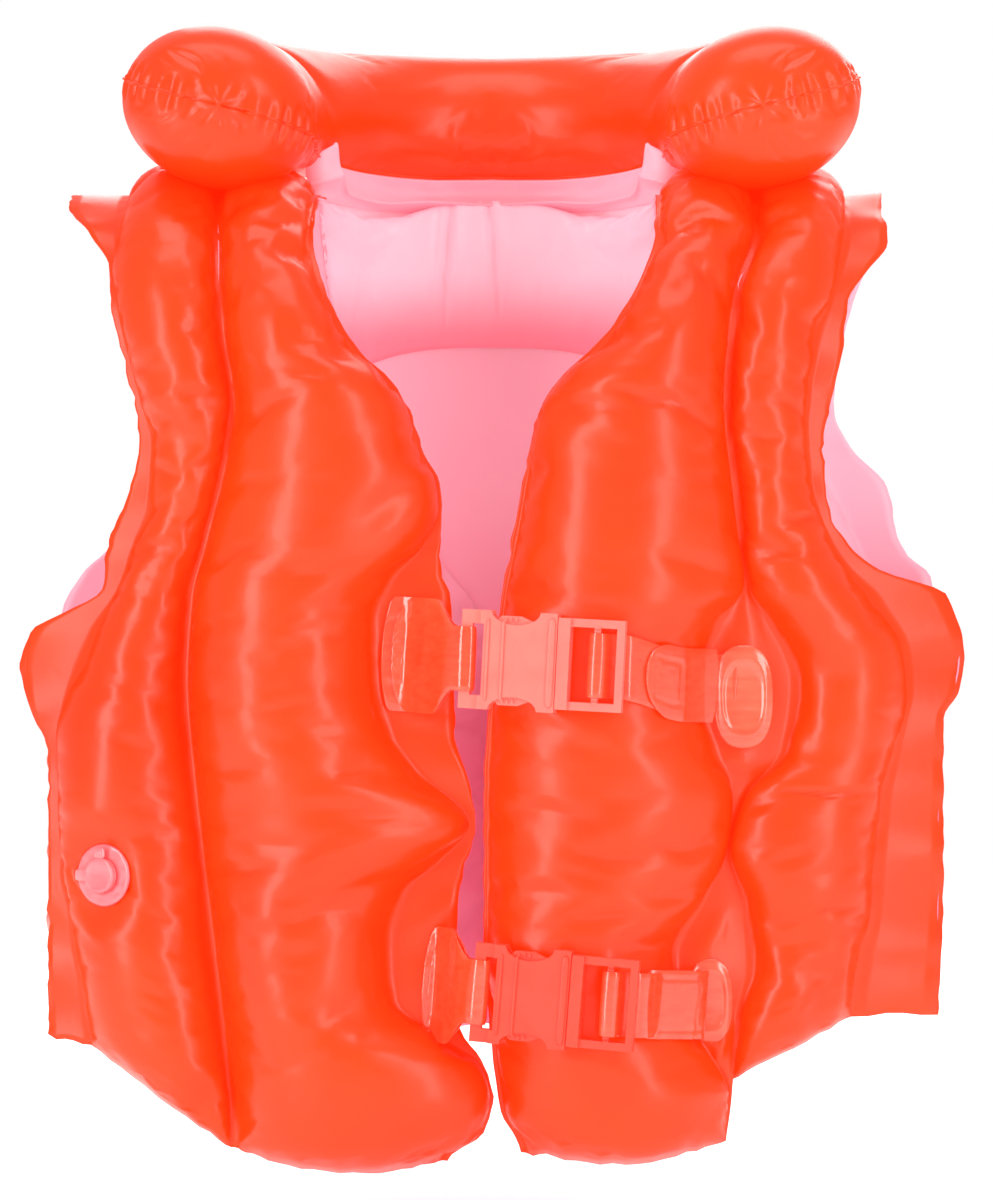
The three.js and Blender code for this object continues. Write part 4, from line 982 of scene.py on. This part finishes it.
def patch(name, place, material):
    """An oval weld patch: height over the polar grid is a rim ring, a dished middle and a thin edge."""
    x0, z0, width, height = place
    r = np.linspace(0, 1, 26)[:, None]
    a = np.linspace(0, 2 * math.pi, 73)[None, :]
    power = 2 / 2.6
    cx = np.sign(np.cos(a)) * np.abs(np.cos(a)) ** power
    cz = np.sign(np.sin(a)) * np.abs(np.sin(a)) ** power
    h = 0.7 + 0.75 * bell(r - 0.74, 0.1) - 0.9 * smooth((r - 0.86) / 0.14) * 0.7 - 0.15 * np.cos(3 * r)
    h = h + 0.12 * np.sin(5 * a) * r * bell(r - 0.9, 0.2) + 0 * a
    x = x0 + width / 2 * r * cx
    z = z0 + height / 2 * r * cz
    seat = -FRONT_DEPTH - RIM - 0.1
    front = np.stack([x, seat - h, z], axis=-1)
    back = np.stack([x, seat + 0 * h, z], axis=-1)
    rows, columns = h.shape
    rim = np.arange(columns - 1) + (rows - 1) * columns
    under = rim + rows * columns
    faces = np.concatenate([
        grid_faces(rows, columns), grid_faces(rows, columns, rows * columns, True),
        np.stack([rim, rim + 1, under + 1, under], axis=-1)])
    points = np.concatenate([front.reshape(-1, 3), back.reshape(-1, 3)])
    return weld_poles(mesh_object(name, points, faces, (material,)))


def moulded_copy(node, name, material, radius):
    """A merged copy of a CAD node with its flat faces joined and its edges rounded."""
    mesh = frame["nodes"][node].data.copy()
    mesh.name = name
    mesh.materials.clear()
    mesh.materials.append(material)
    bm = bmesh.new()
    bm.from_mesh(mesh)
    bmesh.ops.remove_doubles(bm, verts=bm.verts, dist=2e-5)
    bmesh.ops.dissolve_limit(bm, angle_limit=math.radians(2), verts=bm.verts, edges=bm.edges)
    bm.to_mesh(mesh)
    bm.free()
    for attribute in [a.name for a in mesh.attributes if a.name.startswith("custom_normal")]:
        mesh.attributes.remove(mesh.attributes[attribute])
    mesh.polygons.foreach_set("use_smooth", np.ones(len(mesh.polygons), bool))
    obj = placed(name, mesh)
    set_all(obj.modifiers.new("Rounded edges", "BEVEL"), width=radius * MM, segments=3, limit_method="ANGLE",
            angle_limit=math.radians(28), harden_normals=True)
    return obj


def pebbles(name, centres, sizes, place, material, power=0.5):
    """Small raised shapes: superellipsoids with half sizes (a, b, c) in a buckle's or valve's frame."""
    origin, axes = place
    rows, columns = 9, 21
    lat = np.linspace(-math.pi / 2, math.pi / 2, rows)[:, None]
    lon = np.linspace(0, 2 * math.pi, columns)[None, :]

    def soft(value):
        return np.sign(value) * np.abs(value) ** power

    ring = soft(np.cos(lat))
    ball = np.stack(np.broadcast_arrays(
        ring * soft(np.cos(lon)), soft(np.sin(lat)) + 0 * lon, ring * soft(np.sin(lon))), axis=-1).reshape(-1, 3)
    centres, sizes = np.array(centres, float), np.array(sizes, float)
    local = centres[:, None] + ball[None] * sizes[:, None]
    faces = np.concatenate([grid_faces(rows, columns, k * len(ball)) for k in range(len(centres))])
    points = origin + local.reshape(-1, 3) @ axes.T
    return weld_poles(mesh_object(name, points, faces, (material,)))


def turned(name, profile, place, material, wobble=None):
    """A surface of revolution: radius and height of the profile swept round the place's third axis."""
    origin, axes = place
    line, _ = rounded_line(profile, 2)
    if len(line) < 40:
        line, _ = rounded_line(profile, 3)
    a = np.linspace(0, 2 * math.pi, 65)
    r, h = line[:, :1], line[:, 1:]
    if wobble is not None:
        h = h + wobble(r, a)
    local = np.stack(np.broadcast_arrays(r * np.cos(a), r * np.sin(a), h), axis=-1)
    points = origin + local.reshape(-1, 3) @ axes.T
    return weld_poles(mesh_object(name, points, grid_faces(len(line), len(a)), (material,)))


# ---- Valves ------------------------------------------------------------------------------------------
VALVES = {  # the film each sits in, the body of its flange, and its direction
    "front_valve": ("right_half_film", "vest", (-0.5, -0.86, 0.0)),
    "back_valve": ("left_half_film", "vest", (0.0, 1.0, 0.0)),
    "collar_valve": ("collar_film", "collar", (0.0, 0.899, -0.438)),
}
POCKET_RADIUS = 8.4
POCKET_DEPTH = 18.5
FLANGE_RADIUS = 13.2


def valve_place(name):
    """Origin and own axes of a valve: z points out of the chamber and 0 is the foot of its flange."""
    z = unit(np.array(VALVES[name][2]))
    x = unit(np.cross([0.0, 0.0, 1.0], z))
    low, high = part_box(f"{name}_flange")
    centre = (np.array(low) + np.array(high)) / 2 / MM
    return centre - z * 0.5, np.stack([x, np.cross(z, x), z], axis=1)


def seat_valve(name):
    """Draws the film in round a valve: level under the flange, a pocket for the stem and its open flap,
    rings of soft folds."""
    obj = bpy.data.objects[VALVES[name][0]]
    origin, axes = valve_place(name)
    co = coordinates(obj) / MM
    local = (co - origin) @ axes
    r = np.hypot(local[:, 0], local[:, 1])
    h = local[:, 2]
    near = (r < 34) & (h > -POCKET_DEPTH - 2.5)
    a = np.arctan2(local[:, 1], local[:, 0])
    level = np.where(r < POCKET_RADIUS, -POCKET_DEPTH, -0.3)
    rings = 0.9 * np.cos((r - 18) * 2 * math.pi / 7.5) * bell(r - 21, 6) * (1 + 0.5 * np.sin(2 * a + 1))
    out = smooth((r - FLANGE_RADIUS) / 13)
    local[:, 2] = np.where(near, level * (1 - out) + (h + rings) * out, h)
    set_coordinates(obj, (origin + local @ axes.T) * MM)


def press_under_buckle(name):
    """Holds the left film back behind a buckle and its strap, with a slope of film round the hollow."""
    obj = bpy.data.objects["left_half_film"]
    origin, axes = buckle_place(name)
    co = coordinates(obj) / MM
    local = (co - origin) @ axes
    x, y, z = local.T
    z = z + hanging(x, BUCKLES[name]["droop"])
    limit = np.full(len(co), -1e9)
    hollows = (BAR_START - 1, PLUG_END + 28, 20.5, HALF_BODY + 0.6), (PLUG_END, 92, 15.5, 6.5)
    for x0, x1, half, level in hollows:  # where it is, its half height and its depth
        outside = np.hypot(np.clip(np.maximum(x0 - x, x - x1), 0, None), np.clip(np.abs(z) - half, 0, None))
        limit = np.maximum(limit, level - 0.75 * outside)
    front = (y > -14) & (y < 40) & (co[:, 1] < 0)
    gap = y - limit
    moved = np.where(gap < 3, limit + 3 * np.exp(np.clip(gap - 3, -60, 0) / 3), y)
    local[:, 1] = np.where(front, np.maximum(moved, y), y)
    set_coordinates(obj, (origin + local @ axes.T) * MM)


def film_depth(obj, x, z):
    """How far forward the film stands at (x, z), in millimetres: the y of its first point seen from ahead."""
    hit, place, _, _ = obj.ray_cast((x * MM, -0.3, z * MM), (0, 1, 0))
    return place[1] / MM if hit else -FRONT_DEPTH


CREASES = {  # x, z of both ends, depth and width, in millimetres
    "right": [
        (-18, -268, -72, -262, 3.2, 4.5), (-40, -240, -74, -252, 2.6, 4.0), (-36, -312, -74, -296, 2.4, 4.5),
        (-30, -128, -56, -152, 2.6, 6.0), (-44, -176, -66, -172, 2.2, 4.0), (-52, -338, -76, -362, 2.4, 3.5),
        (-48, -346, -68, -374, 2.0, 3.0), (-134, -112, -118, -116, 1.6, 3.0), (-150, -160, -132, -158, 1.6, 3.0)],
    "left": [
        (96, -186, 78, -160, 2.0, 4.5), (84, -232, 62, -240, 2.4, 4.5), (74, -322, 52, -316, 2.2, 4.5),
        (118, -118, 138, -112, 1.8, 2.6), (118, -132, 140, -127, 1.8, 2.6), (121, -147, 142, -143, 1.8, 2.6),
        (122, -162, 146, -158, 1.6, 2.6), (104, -256, 136, -262, 2.2, 5.0), (112, -320, 138, -316, 1.8, 4.0)],
}
FILM_FOLDS = {  # the same, on the free film and the seams
    "right": [
        (-16, -176, -40, -196, -1.6, 2.2), (-14, -232, -38, -222, -1.4, 2.0), (-10, -296, -34, -318, -1.5, 2.2)],
    "left": [
        (101, -174, 82, -205, -2.4, 2.0), (104, -180, 108, -204, -1.6, 1.8), (94, -241, 110, -249, -2.2, 2.0),
        (86, -234, 99, -256, -2.0, 2.0), (95, -306, 84, -330, -2.0, 2.0), (98, -350, 90, -372, -1.8, 2.0)],
}


def valleys(folds, x, z, least, trim):
    """Depth at (x, z) of straight valleys of Gaussian section that fade to a least share at their ends."""
    total = np.zeros(len(x))
    for x0, z0, x1, z1, depth, wide in folds:
        dx, dz = x1 - x0, z1 - z0
        t = np.clip(((x - x0) * dx + (z - z0) * dz) / (dx * dx + dz * dz), 0, 1)
        d = np.hypot(x - x0 - t * dx, z - z0 - t * dz)
        total += depth * bell(d, wide) * (least + (1 - least) * np.sin(math.pi * np.clip(t, trim, 1 - trim)))
    return total


def crease(name):
    """Presses creases into a front's chambers, and folds into its free film and seams."""
    obj = bpy.data.objects[f"{name}_half_film"]
    co = coordinates(obj) / MM
    x, y, z = co.T
    above = -y - reach(np.abs(x), -1) - 2
    chamber = np.clip(above / 8, 0, 1) * (y < -20)
    film = np.clip(1.5 - np.abs(above) / 5, 0, 1) * (y < -20)
    creases, folds = valleys(CREASES[name], x, z, 0.25, 0.02), valleys(FILM_FOLDS[name], x, z, 0, 0.08)
    co[:, 1] = y + creases * chamber + folds * film
    set_coordinates(obj, co * MM)


def settle(obj, body, slot, *nodes):
    """The piece rides on a body and stands for its CAD nodes. Its slot is not used."""
    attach(obj, body)
    if nodes:
        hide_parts(*nodes)
    return obj


# ---- Operators ---------------------------------------------------------------------------------------
FRONT_PARTS = ("side_chamber", "centre_chamber", "armhole_film", "seam", "edge_film")
BACK_PARTS = ("side_chamber", "inner_chamber", "seam", "armhole_film")


class SWIMVEST_OT_chambers(bpy.types.Operator):
    """Make the film chambers of both halves, the one behind the neck and the collar, and blow them up"""

    bl_idname = "swimvest.chambers"
    bl_label = "Chambers and collar"

    def execute(self, context):
        film = context.scene.swimvest_film
        outer, lining, neck = finish("outer"), finish("lining"), finish("neck lining")
        pieces, folds = [], []
        for name, worked_out, skins, growth, pressure in (
                ("right_half_film", half_sheets(HALVES["right"], 3), (outer, lining), 1, 1),
                ("left_half_film", half_sheets(HALVES["left"], 5), (outer, lining), 1, 1),
                ("neck_chamber_film", yoke_sheets(23), (outer, neck), 0.5, 0.5),
                ("collar_film", collar_sheets(31), (outer,), 0.12, 0.7)):
            sheets, welded, puckers = worked_out
            obj = film_piece(name, sheets, welded, skins)
            pieces.append((obj, film.growth * growth, film.pressure * pressure))
            folds.append(puckers)
        blow_up(pieces, film)
        right, left, yoke, collar = (obj for obj, _, _ in pieces)
        for (obj, _, _), puckers in zip(pieces, folds):
            set_coordinates(obj, coordinates(obj) + puckers.reshape(-1, 3) * MM)
        for name, obj in (("right", right), ("left", left)):
            crease(name)
            settle(obj, "vest", "shell", *(f"{name}_front_{part}" for part in FRONT_PARTS),
                   *(f"back_{name}_{part}" for part in BACK_PARTS))
        for name in BUCKLES:
            press_under_buckle(name)
        for name in VALVES:
            seat_valve(name)
        settle(yoke, "vest", "shell", "back_yoke_chamber")
        settle(collar, "collar", "shell", "collar_chamber")
        return {"FINISHED"}


class SWIMVEST_OT_films(bpy.types.Operator):
    """Make the flat films: the lining behind the shoulder blades, the neck band and the side panels"""

    bl_idname = "swimvest.films"
    bl_label = "Lining and side films"

    def execute(self, context):
        outer, lining = finish("outer"), finish("lining")
        as_sheet("back_lining", shield_surface(), (outer, lining), "back_shield")
        weld = thin_sheet("back_middle_weld", middle_weld_surface(), (outer, lining), 1.3)
        settle(weld, "vest", "shell", "back_middle_seam")
        for name, sign, skins in (("right", -1, (outer, lining)), ("left", 1, (lining, outer))):
            as_sheet(
                f"{name}_underarm_film", side_panel_surface(sign), skins, f"{name}_side_panel")
        as_sheet("neck_band_film", neck_band_surface(), (lining,), "neck_band")
        return {"FINISHED"}


class SWIMVEST_OT_buckles(bpy.types.Operator):
    """Make the side-release buckles with their prongs and ribs"""

    bl_idname = "swimvest.buckles"
    bl_label = "Buckles"

    def execute(self, context):
        for name in BUCKLES:
            plastic = finish(name)
            place = buckle_place(name)
            for part, body, radius in (
                    ("socket", "vest", 0.7), ("plug", f"{name}_plug", 0.6),
                    ("top_prong", f"{name}_top_prong", 0.6), ("bottom_prong", f"{name}_bottom_prong", 0.6)):
                node = f"{name}_buckle_{part}"
                settle(moulded_copy(node, f"{node}_moulding", plastic, radius), body, "buckle", node)
            ribs = [(CENTRE_BAR + 1.3, -1.95, z) for z in np.arange(-15.3, 15.4, 1.8)]
            ribs = pebbles(f"{name}_buckle_bar_ribs", ribs, [(1.25, 0.35, 0.5)] * len(ribs), place, plastic)
            settle(ribs, f"{name}_plug", "buckle")
            raised = [(17.6, -4.4, 0), (-2.2, -4.4, 0), (-8.4, -4.4, 0)]
            sizes = [(1.3, 0.45, 18.0), (0.5, 0.3, 16.5), (0.5, 0.3, 16.5)]
            settle(pebbles(f"{name}_buckle_face_bands", raised, sizes, place, plastic, 0.35), "vest", "buckle")
            for part, side in (("top", 1), ("bottom", -1)):
                grips = [(x, -2.15, side * (17.0 - 0.3 * abs(x - 1.0))) for x in (-1.8, 0.4, 2.6)]
                grip = pebbles(f"{name}_buckle_{part}_grip", grips, [(0.45, 0.25, 1.0)] * 3, place, plastic)
                settle(grip, f"{name}_{part}_prong", "buckle")
        return {"FINISHED"}


def to_frame(place, x, depth):
    """(x, y) in a buckle's frame of a point at its height, given across the vest and in depth."""
    origin, axes = place
    return tuple((axes.T @ (np.array([x, depth, origin[2]]) - origin))[:2])


def make_tab(name, index):
    """The film that is welded to the right front and looped round the buckle's bar, as a band."""
    sizes, place = BUCKLES[name], buckle_place(name)
    welded = sizes["welded"]
    edge = EDGES["right_centre"][0]
    film_end = (-edge(sizes["z"] + np.linspace(-13, 13, 5))).max() + 2.5
    film_front = -FRONT_DEPTH - 0.4 - 0.6 - 0.6
    line = [
        to_frame(place, film_end, film_front), to_frame(place, film_end + welded, film_front),
        (BAR_START - 3, 2.9), (BAR_START + 5.4, 2.9), (BAR_START + 5.4, -2.9), (BAR_START - 3, -2.9),
        to_frame(place, film_end + welded - 1, film_front - 1.8),
        to_frame(place, film_end + welded / 3, film_front - 1.8)]
    seam = to_frame(place, film_end + welded * 0.62, film_front)[0]
    tab = band(f"{name}_tab_film", line, 26, 1.2, place, finish("tab"), (5, 9),
               [(seam - 1, welded * 0.36, 13.0)], 70 + index, flare=(BAR_START - 3, BAR_START - 13, 0.8))
    settle(tab, "vest", "strap", f"{name}_buckle_tab")


def make_strap(name, index):
    """A strap that lies on the left film, is looped over the buckle's centre bar and comes back behind the end
    bar, and the strap's welded end that lies over it. Both are bands."""
    sizes, place = BUCKLES[name], buckle_place(name)
    origin, axes = place
    droop = sizes["droop"]
    patch_x, patch_z, patch_width, _ = sizes["patch"]
    left_film = bpy.data.objects["left_half_film"]

    # On the film, the strap's depth is the foremost point of the film under its width.
    start = origin + axes @ np.array([PLUG_END + 2, 4.35, 0])
    lie = []
    for x in np.linspace(start[0], patch_x - 2, 15)[1:]:
        along = to_frame(place, x, start[1])[0]
        lower = -axes[2, 0] * along + hanging(along, droop)
        heights = [origin[2] - lower + dz for dz in np.linspace(-14, 14, 9)]
        depth = min(film_depth(left_film, x, z) for z in heights) - 1.1
        lie.append(to_frame(place, x, max(depth, -125.0)))
    lie = np.array(lie)
    lie[:, 1] = np.maximum(lie[:, 1], 3.3)
    lie[:, 1] = np.convolve(np.pad(lie[:, 1], 1, mode="edge"), [0.25, 0.5, 0.25], mode="valid")

    def above(x, lift):
        return x, np.interp(x, lie[:, 0], lie[:, 1]) - lift

    # From the patch behind both bars, up and over the centre bar, and back behind the end bar.
    tail_x = to_frame(place, sizes["tail"], start[1])[0]
    line = [tuple(p) for p in lie[::-1]] + [
        (PLUG_END + 2, 4.35), (36.5, 4.2), (32.7, 3.2), (32.7, -3.1), (39.3, -3.1), (39.7, 2.0), (42.6, 3.2),
        (PLUG_END + 2, 3.2), above(PLUG_END + 6, 1.15), above(PLUG_END + 12, 1.15), above(tail_x - 6, 1.15)]
    strap = band(f"{name}_strap_band", line, 26, 1.0, place, finish("strap"), (1.5, 4), [], 80 + index,
                 droop=droop)
    settle(strap, "vest", "strap", f"{name}_buckle_strap")

    end_x, end_width, end_round, mark = sizes["end"]
    first = to_frame(place, end_x, start[1])[0]
    last = to_frame(place, patch_x - patch_width * 0.41, -FRONT_DEPTH - 0.6)
    over = [above(x, 2.5) for x in (first, first + 5, first + 12, tail_x, (tail_x + last[0]) / 2)] + [last]
    end = band(f"{name}_strap_end", over, end_width, 1.1, place, finish("strap"), (end_round, 2),
               [(first + 2.5 + mark[0] * 1.25, *mark)], 84 + index, droop=droop)
    settle(end, "vest", "strap")
    for soft in (strap, end):
        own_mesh(soft)


class SWIMVEST_OT_straps(bpy.types.Operator):
    """Make the tabs, the straps and the patches they are welded to"""

    bl_idname = "swimvest.straps"
    bl_label = "Tabs and straps"

    def execute(self, context):
        for index, (name, sizes) in enumerate(BUCKLES.items()):
            make_tab(name, index)
            make_strap(name, index)
            oval = patch(f"{name}_patch_film", sizes["patch"], finish("patch"))
            settle(oval, "vest", "strap", f"{name}_buckle_strap_patch")
        return {"FINISHED"}


class SWIMVEST_OT_valves(bpy.types.Operator):
    """Make the valves: flange, stem, cap with its tether, and non-return flap"""

    bl_idname = "swimvest.valves"
    bl_label = "Valves"

    def execute(self, context):
        soft = finish("valve")
        for name, (_, flange_body, _) in VALVES.items():
            place = valve_place(name)
            flange = turned(
                f"{name}_ring", [(6.35, 0.1), (12.9, 0.05), (12.9, 0.7), (11.6, 1.0), (10.2, 0.85), (8.6, 1.05),
                                 (6.35, 1.0), (6.35, 0.1)], place, soft,
                wobble=lambda r, a: 0.12 * np.sin(11 * a) * smooth((r - 8) / 4))
            settle(flange, flange_body, "valve", f"{name}_flange")
            stem = turned(
                f"{name}_tube", [(4.15, 2.5), (4.15, -10.3), (5.9, -10.3), (6.0, 1.35), (7.2, 1.4), (7.2, 2.5),
                                 (4.15, 2.5)], place, soft)
            settle(stem, name, "valve", f"{name}_stem")
            cap = turned(
                f"{name}_stopper", [(0, 0.4), (3.3, 0.4), (3.4, 2.9), (7.4, 2.95), (7.5, 3.9), (6.6, 4.7),
                                    (5.0, 4.35), (0, 4.1)], place, soft,
                wobble=lambda r, a: 0.14 * np.sin(3 * a) * smooth((r - 5) / 2))
            settle(cap, f"{name}_cap", "valve", f"{name}_cap")
            tether = pebbles(
                f"{name}_tether", [(-8.6, 3.4, 0.0), (0.0, 3.45, 9.2), (0.0, 4.1, 9.4)],
                [(3.4, 0.5, 2.4), (2.6, 0.55, 2.2), (1.6, 0.3, 1.0)],
                (place[0], place[1][:, [0, 2, 1]]), soft)
            settle(tether, f"{name}_cap", "valve")
            flap = turned(
                f"{name}_leaf", [(0, -11.2), (5.5, -11.2), (5.6, -10.8), (0, -10.75)], place, soft)
            settle(flap, f"{name}_flap", "valve", f"{name}_flap")
        return {"FINISHED"}


class SWIMVEST_OT_stage(bpy.types.Operator):
    """Make the camera, the soft light and the pale floor"""

    bl_idname = "swimvest.stage"
    bl_label = "Camera and light"

    def execute(self, context):
        scene = context.scene
        stage = scene.swimvest_stage
        world = bpy.data.worlds.new("Studio")
        scene.world = world
        world.use_nodes = True
        nodes = world.node_tree.nodes
        seen = nodes.new("ShaderNodeLightPath").outputs["Is Camera Ray"]
        strength = fill(nodes.new("ShaderNodeMapRange"), To_Min=stage.surround, Value=seen)
        fill(nodes["Background"], Color=(1.0, 1.0, 1.0, 1.0), Strength=strength.outputs[0])
        lens = bpy.data.cameras.new("Camera")
        scene.camera = placed("Camera", lens)
        set_all(scene.camera, location=(stage.centre_x, -stage.distance, stage.centre_z),
                rotation_euler=(math.pi / 2, 0.0, 0.0))
        set_all(lens, sensor_fit="VERTICAL", sensor_height=24.0,
                lens=24.0 * (stage.distance - FRONT_DEPTH * MM) / stage.view_height)
        for name, spot, share, size in (
                ("Left softbox", (-1.25, -1.35, 0.15), 1.0, (0.45, 1.7)),
                ("Right softbox", (1.15, -1.5, 0.25), 0.75, (0.4, 1.7)),
                ("Top softbox", (0.0, -0.5, 1.7), 0.8, (1.6, 0.9)),
                ("Back softbox", (0.3, 1.6, 0.9), 0.8, (1.4, 1.4))):
            light = bpy.data.lights.new(name, "AREA")
            set_all(light, shape="RECTANGLE", energy=stage.light * share, size=size[0], size_y=size[1])
            lamp = placed(name, light)
            lamp.location = spot
            lamp.rotation_euler = (Vector((0, 0, -0.18)) - lamp.location).to_track_quat("-Z", "Y").to_euler()
        radius = np.array([0.0, 0.4, 1.0, 2.0, 4.0])[:, None] / MM
        angle = np.linspace(0, 2 * math.pi, 49)
        points = np.stack(np.broadcast_arrays(
            radius * np.cos(angle), radius * np.sin(angle), stage.floor / MM), axis=-1).reshape(-1, 3)
        floor = mesh_object("floor", points, grid_faces(len(radius), len(angle)), (finish("floor"),))
        scene.view_settings.view_transform = "Standard"
        return {"FINISHED"}


STEPS = (SWIMVEST_OT_chambers, SWIMVEST_OT_films, SWIMVEST_OT_buckles, SWIMVEST_OT_straps, SWIMVEST_OT_valves,
         SWIMVEST_OT_stage)


class SWIMVEST_PT_panel(bpy.types.Panel):
    """The steps that build the vest, and its settings"""

    bl_idname = "SWIMVEST_PT_panel"
    bl_label = "Swim vest"
    bl_space_type = "VIEW_3D"
    bl_region_type = "UI"
    bl_category = "Swim vest"

    def draw(self, context):
        for step in STEPS:
            self.layout.operator(step.bl_idname)
        for group in (context.scene.swimvest_film, context.scene.swimvest_stage):
            for name in group.__annotations__:
                self.layout.prop(group, name)


CLASSES = (SWIMVEST_PG_film, SWIMVEST_PG_stage, *STEPS, SWIMVEST_PT_panel)


def register():
    for cls in CLASSES:
        bpy.utils.register_class(cls)
    bpy.types.Scene.swimvest_film = PointerProperty(type=SWIMVEST_PG_film)
    bpy.types.Scene.swimvest_stage = PointerProperty(type=SWIMVEST_PG_stage)


def unregister():
    del bpy.types.Scene.swimvest_film
    del bpy.types.Scene.swimvest_stage
    for cls in reversed(CLASSES):
        bpy.utils.unregister_class(cls)


def main():
    """Builds the vest and its stage in order."""
    register()
    for step in STEPS:
        group, name = step.bl_idname.split(".")
        getattr(getattr(bpy.ops, group), name)()


if __name__ == "__main__":
    main()
